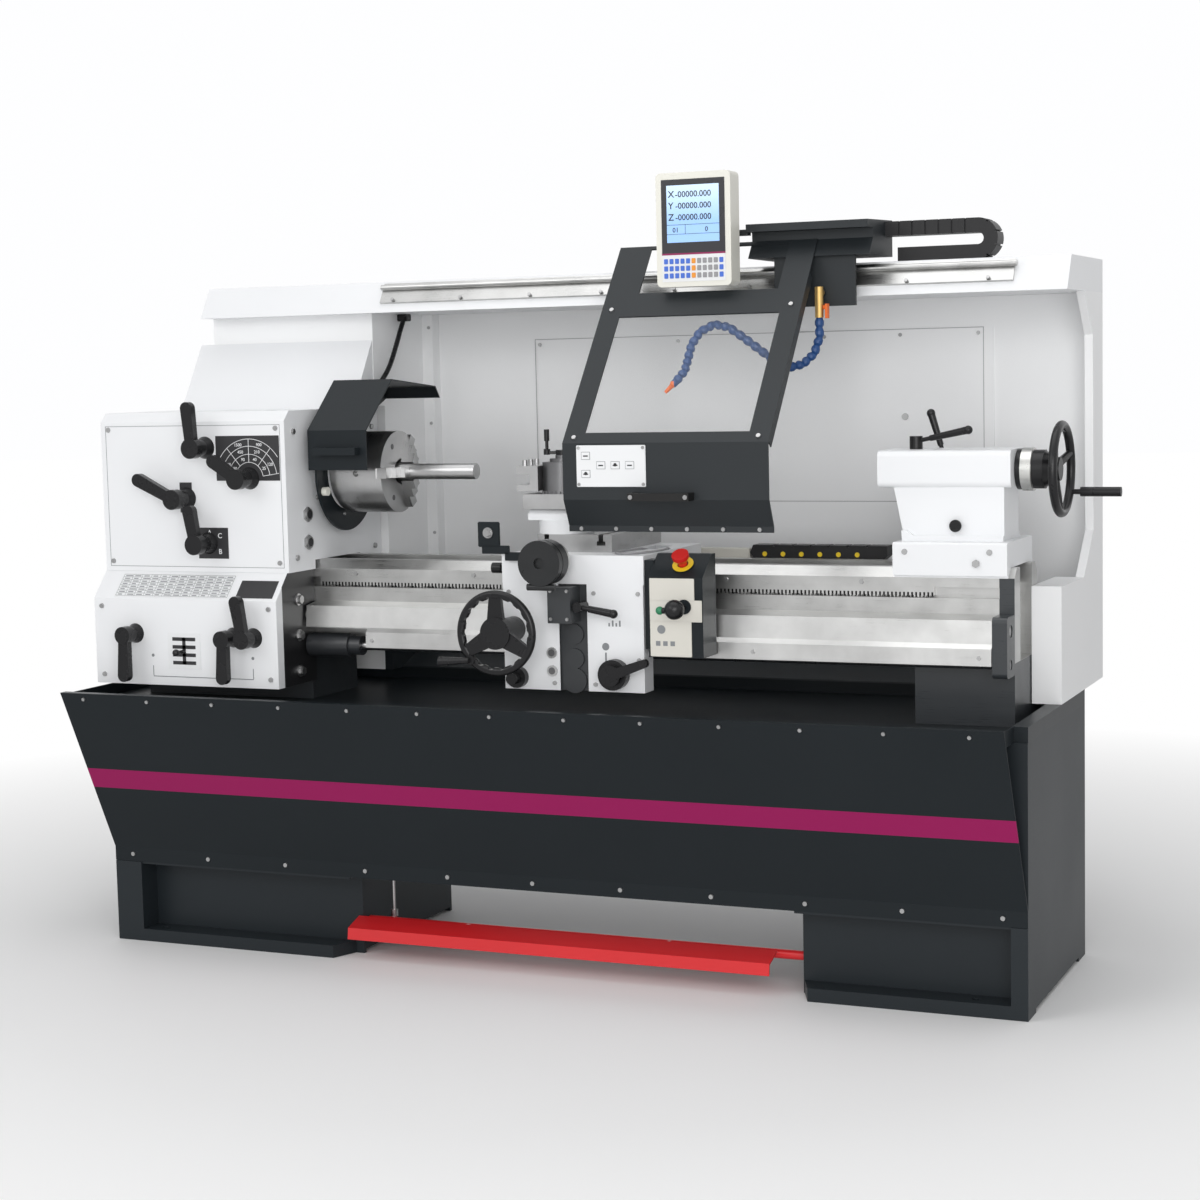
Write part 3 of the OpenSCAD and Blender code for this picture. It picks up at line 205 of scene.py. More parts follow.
# Edges in metres where one CAD piece changes its finish, or where painted shade begins.
STRIPE_Z = (0.402, 0.452)
HANDLE_Y, HANDLE_Z = -0.2805, (1.125, 1.163)
SHADE_BELOW_BED_X, SHADE_BELOW_BED_Y, SHADE_BELOW_BED_Z = (-0.676, 1.115), (0.17, 0.505), 0.79
SCREEN_LOW, SCREEN_TALL = 1.78, 0.1
GEAR_COVER_X, CLUTCH_BLOCK_Y = (0.0597, 0.1323), -0.2502
GEARBOX_SIDE_X, GEARBOX_SIDE_Y = -0.6805, -0.2755
PIPE_X, PIPE_Y, PIPE_Z = (0.5995, 0.6225), 0.0765, 1.6185
RACK_PITCH, RACK_ROOT_Z = 0.00942, 0.9175
ROD_BRACKET_X, ROD_BRACKET_Y, BED_FEET_Z = 1.0795, -0.1135, 0.7605
TAIL_DIAL_X, CROSS_DIAL_Y = (1.1105, 1.1345), (-0.3062, -0.2838)
NOZZLE_X, NOZZLE_Z = 0.2915, 1.4045
SLEEVE_X = -0.524
SCREW_PITCH = 0.006

base_paint = paint("base paint", ANTHRACITE, 0.36, 0.1, gloss=0.2)
pedestal_paint = paint("pedestal paint", (0.017, 0.022, 0.026), 0.4, 0.12, gloss=0.25)
panel_paint = paint("front panel paint", ANTHRACITE, 0.34, 0.1, gloss=0.16)
stripe = between(panel_paint.p.xyz()[2], *STRIPE_Z)
panel_paint.put("Base Color", stripe.mix(panel_paint.color, rgba(MAGENTA)))
shield_paint = paint("shield paint", SHIELD_GREY, 0.5, 0.25, 1500.0, 0.35)
_, shield_y, shield_z = shield_paint.p.xyz()
handle = (shield_y < HANDLE_Y) * between(shield_z, *HANDLE_Z)
shield_paint.put("Base Color", handle.mix(shield_paint.color, (0.004, 0.004, 0.004, 1)))
white_paint = paint("white paint", WHITE, 0.35, 0.05, 500.0, shade=0.96)
guard_paint = paint("guard paint", (0.92, 0.925, 0.93), 0.4, 0.05, 500.0, shade=0.96)
# painted shade: below the bed the guard's inside is painted dark, for the shade that falls under the bed
guard_x, guard_y, guard_z = guard_paint.p.xyz()
painted_shade_below_bed = (guard_z < SHADE_BELOW_BED_Z) * between(guard_y, *SHADE_BELOW_BED_Y) * between(guard_x, *SHADE_BELOW_BED_X)
guard_paint.put("Base Color", painted_shade_below_bed.mix(guard_paint.color, rgba(ANTHRACITE)))
red_paint = paint("pedal paint", (0.72, 0.02, 0.025), 0.32, 0.08)
steel = metal("turned steel", (0.6, 0.6, 0.6), 0.32, (1.0, 0.02, 0.02))
ground = metal("ground steel", (0.62, 0.62, 0.61), 0.3, (0.02, 1.0, 1.0))
cover_steel = metal("brushed covers", (0.66, 0.66, 0.65), 0.34, (0.01, 1.0, 1.0), 900.0, 0.08)
slide_steel = metal("ground slides", (0.55, 0.55, 0.55), 0.33, (1.0, 0.02, 1.0))
dark_iron = metal("oiled iron", (0.2, 0.2, 0.205), 0.4, (1.0, 1.0, 0.1))
black = plastic("black plastic", BLACK, 0.27, 0.05, 0.28)
chain_black = plastic("chain plastic", (0.016, 0.016, 0.017), 0.42, gloss=0.3)
cream = plastic("cream plastic", (0.78, 0.77, 0.7), 0.42)
orange = plastic("orange plastic", ORANGE, 0.45)
red_button = plastic("red button", (0.6, 0.015, 0.012), 0.3)
yellow = plastic("yellow plastic", (0.85, 0.6, 0.02), 0.45)
green = plastic("green plastic", (0.02, 0.2, 0.09), 0.4)
screw_steel = metal("screw steel", (0.5, 0.5, 0.5), 0.35)
plate_white = plastic("printed plate", (0.8, 0.81, 0.82), 0.4, 0.02)
plate_beige = plastic("control plate", (0.66, 0.64, 0.58), 0.45, 0.04)
ink = plastic("plate ink", (0.02, 0.02, 0.022), 0.5, 0.02)
grey_ink = plastic("grey ink", (0.22, 0.23, 0.24), 0.5, 0.02)
blue_key = plastic("blue keys", (0.06, 0.16, 0.62), 0.4, 0.02)
grey_key = plastic("grey keys", (0.3, 0.3, 0.31), 0.4, 0.02)
orange_key = plastic("orange keys", (0.8, 0.3, 0.03), 0.4, 0.02)
bezel = plastic("readout bezel", (0.02, 0.02, 0.024), 0.3, 0.02)
magenta = plastic("magenta line", MAGENTA, 0.4, 0.02)

screen = Mat("readout screen", (0.5, 0.68, 0.9), 0.25)
screen_z = screen.p.xyz()[2]
glow = ((screen_z - SCREEN_LOW) / SCREEN_TALL).clamp().mix((0.3, 0.5, 0.85, 1), (0.62, 0.78, 0.95, 1))
screen.put("Base Color", glow)
screen.put("Emission Color", glow)
screen.bsdf.inputs["Emission Strength"].default_value = 0.35

glass = Mat("window sheet", (0.92, 0.95, 0.96), 0.06)
glass.put("Alpha", glass.p.noise(3.0, 3.0) * 0.03 + 0.02)

# the apron has a dark gear cover and clutch block between bright plates
apron_mat = paint("apron paint", WHITE, 0.36, 0.05, 500.0, shade=0.96)
apron_x, apron_y, _ = apron_mat.p.xyz()
dark_zone = (between(apron_x, *GEAR_COVER_X) + (apron_y < CLUTCH_BLOCK_Y)).clamp()
apron_mat.put("Base Color", dark_zone.mix(apron_mat.color, rgba(DARK_COVER)))

# the gearbox is white in front, with a black right face
gear_mat = paint("gearbox paint", WHITE, 0.36, 0.05, 500.0, shade=0.96)
gear_x, gear_y, _ = gear_mat.p.xyz()
gear_side = (gear_x > GEARBOX_SIDE_X) * (gear_y > GEARBOX_SIDE_Y)
gear_mat.put("Base Color", gear_side.mix(gear_mat.color, rgba(BLACK)))

# the carrier's tap body and pipe are brass
carrier_mat = paint("carrier paint", SHIELD_GREY, 0.5, 0.25, 1500.0, 0.35)
pipe_x, pipe_y, pipe_z = carrier_mat.p.xyz()
pipe = between(pipe_x, *PIPE_X) * (pipe_y < PIPE_Y) * (pipe_z < PIPE_Z)
carrier_mat.put("Base Color", pipe.mix(carrier_mat.color, rgba(BRASS)))
carrier_mat.put("Metallic", pipe)

# rack: painted shade in the gaps between its teeth on the lower half
rack_mat = metal("rack", (0.6, 0.6, 0.59), 0.34)
rack_x, _, rack_z = rack_mat.p.xyz()
tooth_gap_shade = ((rack_x * (2 * math.pi / RACK_PITCH)).math("SINE") > 0.1) * (rack_z < RACK_ROOT_Z)
rack_mat.put("Base Color", tooth_gap_shade.mix(rack_mat.color, (0.02, 0.02, 0.02, 1)))

# bed: bright ground casting, with a dark rod bracket and dark feet
bed_mat = metal("bed casting", (0.6, 0.6, 0.59), 0.32, (0.015, 1.0, 1.0))
bed_x, bed_y, bed_z = bed_mat.p.xyz()
bracket = ((bed_x > ROD_BRACKET_X) * (bed_y < ROD_BRACKET_Y) + (bed_z < BED_FEET_Z)).clamp()
bed_mat.put("Base Color", bracket.mix(bed_mat.color, (0.03, 0.034, 0.038, 1)))
bed_mat.put("Metallic", 1.0 - bracket)

wheel_mat = dial_wheel("tail wheel", BLACK, 0, TAIL_DIAL_X, (0.6, 0.6, 0.58), 0.2)
cross_mat = dial_wheel("cross wheel", (0.02, 0.021, 0.022), 1, CROSS_DIAL_Y, (0.5, 0.5, 0.49), 0.22)

# the hose is blue, its nozzle orange
hose_mat = plastic("coolant hose", (0.02, 0.075, 0.25), 0.42)
hose_x, _, hose_z = hose_mat.p.xyz()
nozzle = (hose_x < NOZZLE_X) * (hose_z < NOZZLE_Z)
hose_mat.put("Base Color", nozzle.mix((0.012, 0.06, 0.2, 1), rgba(ORANGE)))

# the feed rod's clutch sleeve is dark
feed_mat = metal("feed rod", (0.5, 0.5, 0.5), 0.32, (1.0, 0.05, 0.05))
sleeve = feed_mat.p.xyz()[0] < SLEEVE_X
feed_mat.put("Base Color", sleeve.mix(feed_mat.color, (0.025, 0.027, 0.03, 1)))
feed_mat.put("Metallic", 1.0 - sleeve)

# leadscrew thread as a bump of even waves along its length
screw_mat = metal("leadscrew", (0.55, 0.55, 0.55), 0.3)
screw_x = screw_mat.p.xyz()[0]
screw_mat.bump((screw_x * (2 * math.pi / SCREW_PITCH)).math("SINE"), 0.9, 0.0015)

LOOKS = {
    base_paint: "chip_tray chuck_guard control_box",
    pedestal_paint: "pedestals",
    panel_paint: "front_panel",
    shield_paint: "shield_frame",
    carrier_mat: "shield_carrier",
    white_paint: "guard_hood headstock headstock_covers saddle swivel_base tailstock_base tailstock_body",
    guard_paint: "rear_guard",
    red_paint: "brake_pedal",
    steel: "spindle chuck_body chuck_jaws bar_stock quill pedal_link spindle_bearings",
    ground: "hood_rail",
    rack_mat: "rack",
    gear_mat: "gearbox",
    cover_steel: "screw_covers",
    slide_steel: "cross_slide top_slide tool_holder",
    dark_iron: "tool_post",
    bed_mat: "bed",
    feed_mat: "feed_rod",
    screw_mat: "leadscrew",
    apron_mat: "apron",
    wheel_mat: "tail_wheel",
    cross_mat: "cross_wheel",
    chain_black: "cable_chain rear_chain",
    cream: "readout_case",
    red_button: "stop_button",
    hose_mat: "coolant_hose",
    orange: "coolant_tap",
    glass: "shield_window",
}
for look, names in LOOKS.items():
    for name in names.split():
        nodes[name].data.materials.clear()
        nodes[name].data.materials.append(look.mat)
# the levers and the other small handles are black
for name, o in nodes.items():
    if not any(name in names.split() for names in LOOKS.values()):
        o.data.materials.clear()
        o.data.materials.append(black.mat)


class Piece:
    """One mesh in millimetres that rides on a CAD body."""

    def __init__(self, name, look, body):
        self.name, self.look, self.body = name, look, body
        self.bm = bmesh.new()

    def box(self, lo, hi, matrix=None, bevel=0.0):
        part = bmesh.new()
        bmesh.ops.create_cube(part, size=1.0)
        size = Vector(hi) - Vector(lo)
        mid = (Vector(hi) + Vector(lo)) / 2
        place = Matrix.Translation(mid) @ Matrix.Diagonal((*size, 1.0))
        bmesh.ops.transform(part, matrix=place, verts=part.verts)
        if bevel:
            bmesh.ops.bevel(part, geom=part.edges[:], offset=bevel, segments=2, affect="EDGES")
        return self._take(part, matrix)

    def rod(self, r, a, b, r2=None, sides=24, matrix=None):
        """A cylinder or cone from point a to point b, in millimetres."""
        a, b = Vector(a), Vector(b)
        part = bmesh.new()
        bmesh.ops.create_cone(part, cap_ends=True, segments=sides, depth=(b - a).length,
                              radius1=r, radius2=r if r2 is None else r2)
        turn = (b - a).to_track_quat("Z", "Y").to_matrix().to_4x4()
        bmesh.ops.transform(part, matrix=Matrix.Translation((a + b) / 2) @ turn, verts=part.verts)
        return self._take(part, matrix)

    def ball(self, r, c, matrix=None):
        part = bmesh.new()
        bmesh.ops.create_uvsphere(part, u_segments=24, v_segments=14, radius=r)
        bmesh.ops.translate(part, vec=Vector(c), verts=part.verts)
        return self._take(part, matrix)

    def ring(self, r_in, r_out, z0, z1, matrix=None, sides=40):
        """A flat ring round the Z axis."""
        part = bmesh.new()
        rings = []
        for i in range(sides):
            t = 2 * math.pi * i / sides
            corners = ((r_in, z0), (r_out, z0), (r_out, z1), (r_in, z1))
            rings.append([part.verts.new((r * math.cos(t), r * math.sin(t), z)) for r, z in corners])
        for i in range(sides):
            a, b = rings[i], rings[(i + 1) % sides]
            for k in range(4):
                part.faces.new((a[k], b[k], b[(k + 1) % 4], a[(k + 1) % 4]))
        bmesh.ops.recalc_face_normals(part, faces=part.faces)
        return self._take(part, matrix)

    def _take(self, part, matrix):
        if matrix:
            bmesh.ops.transform(part, matrix=matrix, verts=part.verts)
        mesh = bpy.data.meshes.new("part")
        part.to_mesh(mesh)
        part.free()
        self.bm.from_mesh(mesh)
        bpy.data.meshes.remove(mesh)
        return self

    def done(self, smooth=True):
        bmesh.ops.scale(self.bm, vec=(MM, MM, MM), verts=self.bm.verts)
        mesh = bpy.data.meshes.new(self.name)
        self.bm.to_mesh(mesh)
        self.bm.free()
        if smooth:
            mesh.shade_smooth()
            mesh.set_sharp_from_angle(angle=0.6)
        mesh.materials.append(self.look.mat)
        o = bpy.data.objects.new(self.name, mesh)
        scene.collection.objects.link(o)
        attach(o, self.body)
        return o


def words(name, text, size, place, look, body, align="LEFT"):
    """Flat letters; place is a matrix whose X runs along the line and Z faces the reader."""
    curve = bpy.data.curves.new(name, "FONT")
    curve.body = text
    curve.size = size * MM
    curve.extrude = 0.0001
    curve.align_x = align
    curve.offset = size * MM * 0.012
    curve.resolution_u = 3
    temp = bpy.data.objects.new(name, curve)
    scene.collection.objects.link(temp)
    mesh = bpy.data.meshes.new_from_object(temp.evaluated_get(bpy.context.evaluated_depsgraph_get()))
    bpy.data.objects.remove(temp)
    mesh.transform(place)
    mesh.materials.clear()
    mesh.materials.append(look.mat)
    o = bpy.data.objects.new(name, mesh)
    scene.collection.objects.link(o)
    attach(o, body)
    return o


def front(x, y, z):
    """Placing on a face that looks to the operator: X right, Y up."""
    return Matrix.Translation(v(x, y, z)) @ Matrix.Rotation(math.pi / 2, 4, "X")


def screw(piece, at, out, r=5.0, h=3.0):
    """A socket-head screw: round head with a hollow of six sides."""
    at, out = Vector(at), Vector(out).normalized()
    piece.rod(r, at - out * 0.5, at + out * h, r * 0.88)
    piece.rod(r * 0.5, at + out * (h - 0.2), at + out * (h + 0.15), sides=6)


def seam_frame(name, look, face, deep, along, up, wide):
    """A thin line round a cover, on a face that looks to the operator."""
    p = Piece(name, look, "base")
    for z in (up[0], up[1] - wide):
        p.box((along[0], face - deep, z), (along[1], face, z + wide))
    for x in (along[0], along[1] - wide):
        p.box((x, face - deep, up[0]), (x + wide, face, up[1]))
    p.done()


# Faces that carry the small pieces, in millimetres.
AXIS_Z = 1190
HEAD_X = -675
FACE_Y = -245.0
GEAR_Y = -305
APRON_Y = -250
CLUTCH_Y = -302
BOX_Y = -280
SHIELD_Y = -280
SHIELD_FOOT_Y = -250
WALL_Y = 496.0


def round_spindle(r, degrees):
    """y and z at a radius and an angle round the spindle's axis."""
    t = math.radians(degrees)
    return r * math.cos(t), AXIS_Z + r * math.sin(t)


# screws along the front panel's lower flange and its upper lip
PANEL_OUT = Vector((0, -0.976, -0.215))
p = Piece("panel_screws", screw_steel, "base")
for i in range(11):
    screw(p, (-1130 + i * 226, -307, 226), (0, -1, 0), 6.0, 3.5)
for i in range(13):
    screw(p, (-1200 + i * 190, -394.0, 636), PANEL_OUT, 5.0, 3.0)
p.done()

# hood strip screws
p = Piece("rail_screws", screw_steel, "base")
for i in range(9):
    screw(p, (-560 + i * 195, 123.6, 1628), (0, -0.848, 0.53), 5.0, 3.0)
p.done()

# headstock and gearbox: cover screws in front and on the right face
p = Piece("headstock_screws", screw_steel, "base")
for x, z in ((-1195, 975), (-1195, 1310), (-700, 975), (-700, 1310)):
    screw(p, (x, FACE_Y, z), (0, -1, 0), 6.5, 4.0)
for x, z in ((-1195, 690), (-1195, 865), (-702, 690), (-702, 865)):
    screw(p, (x, GEAR_Y, z), (0, -1, 0), 6.5, 4.0)
for y, z in ((-205, 985), (-205, 1300), (195, 985), (195, 1300)):
    screw(p, (HEAD_X, y, z), (1, 0, 0), 7.5, 5.0)
for a in range(6):
    t = math.radians(60 * a + 30)
    screw(p, (HEAD_X, 112 * math.cos(t), AXIS_Z + 120 * math.sin(t)), (1, 0, 0), 6.0, 4.0)
p.done()

# oil sights on the headstock's right face
SIGHT_Y, SIGHTS = -150, (1090, 1020)
p = Piece("sight_rings", screw_steel, "base")
for z in SIGHTS:
    p.rod(19, (HEAD_X, SIGHT_Y, z), (HEAD_X + 6, SIGHT_Y, z), sides=6)
    p.rod(15, (HEAD_X + 5.5, SIGHT_Y, z), (HEAD_X + 9, SIGHT_Y, z))
p.done()
p = Piece("sight_glasses", ink, "base")
for z in SIGHTS:
    p.rod(11, (HEAD_X + 8, SIGHT_Y, z), (HEAD_X + 9.6, SIGHT_Y, z))
p.done()

# seams and screws of the access sheet on the guard's back wall
seam_frame("guard_seams", grey_key, WALL_Y, 0.5, (-330, 898), (1085, 1520.5), 1.5)
p = Piece("guard_screws", screw_steel, "base")
for i in range(7):
    screw(p, (-316 + i * 200, WALL_Y, 1506), (0, -1, 0), 5.0, 3.0)
screw(p, (695, WALL_Y, 1300), (0, -1, 0), 9.0, 4.0)
for z in (700, 1000, 1300, 1560):
    screw(p, (-632, 460, z), (0, -1, 0), 4.5, 3.0)
p.done()

# speed plates: a fan of figures round the right lever, letters at the low one
FAN_X, FAN_Z = -779.0, 1186.0
FAN_RINGS, FAN_EDGE = (40, 60, 80, 98), 86
p = Piece("speed_plates", ink, "base")
p.box((FAN_X - 96, FACE_Y - 1, FAN_Z - 6), (FAN_X + 88, FACE_Y, FAN_Z + 106), bevel=0.3)
p.box((-936, FACE_Y - 1, 984), (-848, FACE_Y, 1062), bevel=0.3)
p.box((-986, FACE_Y - 1, 1100), (-950, FACE_Y, 1176), bevel=0.3)
p.done()
p = Piece("speed_fan_lines", plate_white, "base")
for ring in FAN_RINGS:
    for a in range(8, 172, 6):
        t0, t1 = math.radians(a), math.radians(a + 6)
        lo = (FAN_X + ring * math.cos(t0), FACE_Y - 1.1, FAN_Z + ring * math.sin(t0))
        hi = (FAN_X + ring * math.cos(t1), FACE_Y - 1.1, FAN_Z + ring * math.sin(t1))
        if abs(lo[0] - FAN_X) < FAN_EDGE:
            p.rod(0.8, lo, hi, sides=6)
for a in (8, 50, 90, 130, 172):
    t = math.radians(a)
    reach = min(FAN_RINGS[-1], FAN_EDGE / max(abs(math.cos(t)), 0.01))
    p.rod(0.8, (FAN_X + FAN_RINGS[0] * math.cos(t), FACE_Y - 1.1, FAN_Z + FAN_RINGS[0] * math.sin(t)),
          (FAN_X + reach * math.cos(t), FACE_Y - 1.1, FAN_Z + reach * math.sin(t)), sides=6)
p.done()
FIGURES = ((70, 50, "40"), (110, 50, "90"), (30, 50, "25"), (150, 50, "180"),
           (70, 70, "210"), (110, 70, "450"), (30, 70, "120"), (150, 70, "760"),
           (70, 89, "900"), (110, 89, "1500"))
for i, (a, r, t) in enumerate(FIGURES):
    x, z = FAN_X + r * math.cos(math.radians(a)), FAN_Z + r * math.sin(math.radians(a))
    words(f"speed_figure_{i}", t, 11, front(x, FACE_Y - 1.2, z - 4), plate_white, "base", "CENTER")
for i, (x, z, t) in enumerate(((-872, 1036, "C"), (-872, 996, "B"), (-902, 1044, "A"))):
    words(f"range_letter_{i}", t, 18, front(x, FACE_Y - 1.2, z), plate_white, "base", "CENTER")

# seam round the headstock's front cover
seam_frame("headstock_seams", grey_ink, FACE_Y, 0.4, (-1204, -688), (962, 1319.2), 1.2)

# feed table on the gearbox's leaning top, with rows of short marks for figures
on_table = Matrix.Translation((-1150, GEAR_Y, 885.4)) @ Matrix.Rotation(math.atan2(65, 59.6), 4, "X")
ROW, COLUMN = 8.4, 27.6
p = Piece("feed_table", plate_white, "base")
p.box((-10, 4, 0), (330, 78, 0.8), matrix=on_table)
p.done()
p = Piece("feed_table_lines", grey_ink, "base")
for i in range(9):
    p.box((-6, 8 + i * ROW, 0.8), (326, 8.9 + i * ROW, 1.1), matrix=on_table)
for i in range(13):
    p.box((-6 + i * COLUMN, 8, 0.8), (-5.3 + i * COLUMN, 75.4, 1.1), matrix=on_table)
for r in range(8):
    for c in range(12):
        wide = 12 + (c * 7 + r * 5) % 9
        p.box((c * COLUMN, 11 + r * ROW, 0.8), (wide + c * COLUMN, 13.6 + r * ROW, 1.1), matrix=on_table)
p.done()
p = Piece("feed_plate", ink, "base")
p.box((350, 8, 0), (456, 62, 0.8), matrix=on_table)
p.done()

# gate of the selector stick, marks and bolts of the gearbox
GATE_X, GATE_Z = -952.0, 755.0
p = Piece("gate_plate", plate_white, "base")
p.box((GATE_X - 48, GEAR_Y - 1, GATE_Z - 46), (GATE_X + 48, GEAR_Y, GATE_Z + 46), bevel=0.3)
p.done()
p = Piece("gate_slots", ink, "base")
for dz in (-30, -10, 10, 30):
    p.box((GATE_X - 34, GEAR_Y - 1.3, GATE_Z + dz - 4.5), (GATE_X + 34, GEAR_Y - 0.9, GATE_Z + dz + 4.5))
p.box((GATE_X - 5, GEAR_Y - 1.3, GATE_Z - 34), (GATE_X + 5, GEAR_Y - 0.9, GATE_Z + 34))
p.done()
p = Piece("gearbox_marks", grey_ink, "base")
MARKS_X = (-1046, -752)
for x in MARKS_X:
    p.box((x - 1, GEAR_Y - 0.5, 690), (x + 1, GEAR_Y, 716))
    p.rod(4, (x, GEAR_Y - 0.5, 742), (x, GEAR_Y, 742))
p.box((MARKS_X[0], GEAR_Y - 0.5, 688), (MARKS_X[1], GEAR_Y, 690))
p.done()
p = Piece("gearbox_bolts", screw_steel, "base")
for z in (700, 790, 880):
    p.rod(15, (-680, -200, z), (-677, -200, z))
    p.rod(11, (-677.5, -200, z), (-668, -200, z), sides=6)
p.done()

# apron: oil sights, screws and marks
GLASS_X, GLASSES = 40, (772, 729)
p = Piece("apron_sights", steel, "carriage")
for z in GLASSES:
    p.rod(13, (GLASS_X, APRON_Y, z), (GLASS_X, APRON_Y - 5, z))
p.done()
p = Piece("apron_glass", dark_iron, "carriage")
for z in GLASSES:
    p.rod(8.5, (GLASS_X, APRON_Y - 4, z), (GLASS_X, APRON_Y - 6, z))
p.done()
p = Piece("apron_screws", screw_steel, "carriage")
for x, z in ((-70, 700), (45, 700), (150, 700), (262, 760), (262, 915), (150, 915), (-70, 915)):
    screw(p, (x, APRON_Y, z), (0, -1, 0), 5.5, 3.5)
for x, z in ((62, 858), (104, 858), (62, 924), (104, 924)):
    screw(p, (x, CLUTCH_Y, z), (0, -1, 0), 4.5, 3.0)
p.done()
p = Piece("apron_marks", grey_ink, "carriage")
for i in range(4):
    p.box((186 + i * 9, APRON_Y - 0.6, 838), (190 + i * 9, APRON_Y, 846 + (i % 2) * 6))
p.rod(9, (178, APRON_Y - 0.7, 790), (178, APRON_Y, 790))
p.box((170, APRON_Y - 0.6, 748), (186, APRON_Y, 752))
p.box((176, APRON_Y - 0.6, 752), (180, APRON_Y, 776))
p.done()

# control box: faceplate, yellow collar of the stop button, marks and the joystick's green knob
PLATE_Y = BOX_Y - 2.5
p = Piece("control_plate", plate_beige, "carriage")
for x1, z0, z1 in ((406, 775, 858), (432, 856, 906), (414, 904, 956)):
    p.box((304, PLATE_Y, z0), (x1, BOX_Y, z1), bevel=0.8)
p.done()
BUTTON_TILT = math.atan2(50, 65)
on_button = Matrix.Translation((375.3, -247, 983.4)) @ Matrix.Rotation(BUTTON_TILT, 4, "X")
p = Piece("button_collar", yellow, "carriage")
p.ring(13, 25, 3.05, 4.4, matrix=on_button)
p.done()
p = Piece("control_marks", grey_ink, "carriage")
for i in range(3):
    p.box((318 + i * 18, PLATE_Y - 0.5, 800), (329 + i * 18, PLATE_Y + 0.1, 811))
p.rod(10, (332, PLATE_Y - 0.7, 838), (332, PLATE_Y + 0.1, 838))
p.done()
p = Piece("green_knob", green, "joystick")
p.ball(9.6, (355.3, -348.3, 889))
p.done()

# shield: plate with five push fields, and the frame's screws
CARD_Y = SHIELD_Y - 3
FIELDS = ((152, 1238), (152, 1196), (190, 1216), (226, 1216), (262, 1216))
p = Piece("button_plate", plate_white, "shield")
p.box((128, CARD_Y, 1166), (301, SHIELD_Y, 1262), bevel=1.2)
p.done()
p = Piece("button_plate_marks", grey_ink, "shield")
for x, z in FIELDS:
    p.box((x - 11, CARD_Y - 0.6, z - 9), (x + 11, CARD_Y, z + 9))
p.done()
p = Piece("button_plate_fields", plate_white, "shield")
for x, z in FIELDS:
    p.box((x - 10, CARD_Y - 1.0, z - 8), (x + 10, CARD_Y - 0.5, z + 8))
p.done()
p = Piece("button_plate_icons", ink, "shield")
for i, (x, z) in enumerate(FIELDS):
    p.box((x - 6, CARD_Y - 1.3, z - 2), (x + 6, CARD_Y - 0.9, z + 1))
    if i % 2:
        p.rod(4, (x, CARD_Y - 1.4, z + 1), (x, CARD_Y - 0.9, z + 1))
p.done()
SLOPE = math.atan2(472, 385)
on_slope = Matrix.Translation((92, SHIELD_Y, 1267)) @ Matrix.Rotation(SLOPE, 4, "X")
p = Piece("shield_screws", screw_steel, "shield")
for x in (134, 295):
    for z in (1172, 1256):
        screw(p, (x, CARD_Y, z), (0, -1, 0), 4.0, 2.4)
for x, up in ((26, 16), (479, 16), (26, 400), (479, 400)):
    screw(p, on_slope @ Vector((x, up, 0)), on_slope.to_3x3() @ Vector((0, 0, 1)), 6.0, 3.5)
for i in range(6):
    screw(p, (124 + i * 88, SHIELD_FOOT_Y, 1067), (0, -1, 0), 5.5, 3.0)
for x in (276, 410):
    screw(p, (x, SHIELD_Y - 38, 1144), (0, -1, 0), 6.0, 2.0)
p.done()

# readout: bezel, screen, keys and figures, set out from the middle of its front
RX, RY, RZ = 330, -24, 1761
p = Piece("readout_bezel", bezel, "readout_case")
p.box((RX - 80, RY - 1.4, RZ - 56), (RX + 80, RY, RZ + 118), bevel=0.6)
p.done()
p = Piece("readout_key_field", plate_white, "readout_case")
p.box((RX - 80, RY - 1.4, RZ - 122), (RX + 80, RY, RZ - 59), bevel=0.6)
p.done()
p = Piece("readout_line", magenta, "readout_case")
p.box((RX - 80, RY - 1.7, RZ - 59), (RX + 80, RY - 0.2, RZ - 55))
p.done()
p = Piece("readout_screen", screen, "readout_case")
p.box((RX - 66, RY - 1.9, RZ - 30), (RX + 66, RY - 1.2, RZ + 104))
p.done()
KEYS = (("blue", blue_key, (0, 1, 2, 3, 4, 10)), ("orange", orange_key, (5,)),
        ("grey", grey_key, (6, 7, 8, 9)))
for tag, key_look, cols in KEYS:
    p = Piece(f"keys_{tag}", key_look, "readout_case")
    for c in cols:
        for r in range(3):
            x, z = RX - 70 + c * 14, RZ - 74 - r * 17
            p.box((x - 5, RY - 3.2, z - 6), (x + 5, RY - 1.2, z + 6), bevel=0.8)
    p.done()
for i, axis in enumerate("XYZ"):
    z = RZ + 76 - i * 27
    words(f"axis_{axis}", axis, 22, front(RX - 62, RY - 2.1, z), ink, "readout_case")
    words(f"count_{axis}", "-00000.000", 20, front(RX - 44, RY - 2.1, z), ink, "readout_case")
p = Piece("screen_lines", ink, "readout_case")
p.box((RX - 66, RY - 2.2, RZ + 11), (RX + 66, RY - 1.8, RZ + 12))
p.box((RX - 66, RY - 2.2, RZ - 11), (RX + 66, RY - 1.8, RZ - 10))
p.box((RX - 20, RY - 2.2, RZ - 11), (RX - 19, RY - 1.8, RZ + 12))
p.done()
words("tool_number", "01", 16, front(RX - 52, RY - 2.1, RZ - 6), ink, "readout_case")
words("speed_count", "0", 16, front(RX + 30, RY - 2.1, RZ - 6), ink, "readout_case")

# rear chain: dots and cable box
p = Piece("chain_dots", yellow, "base")
for i in range(6):
    p.rod(6, (436 + i * 47, 148, 978), (436 + i * 47, 146.6, 978))
p.done()
p = Piece("rear_cable_box", plate_beige, "base")
p.box((184, 148, 962.2), (396, 190, 990), bevel=2.0)
p.done()

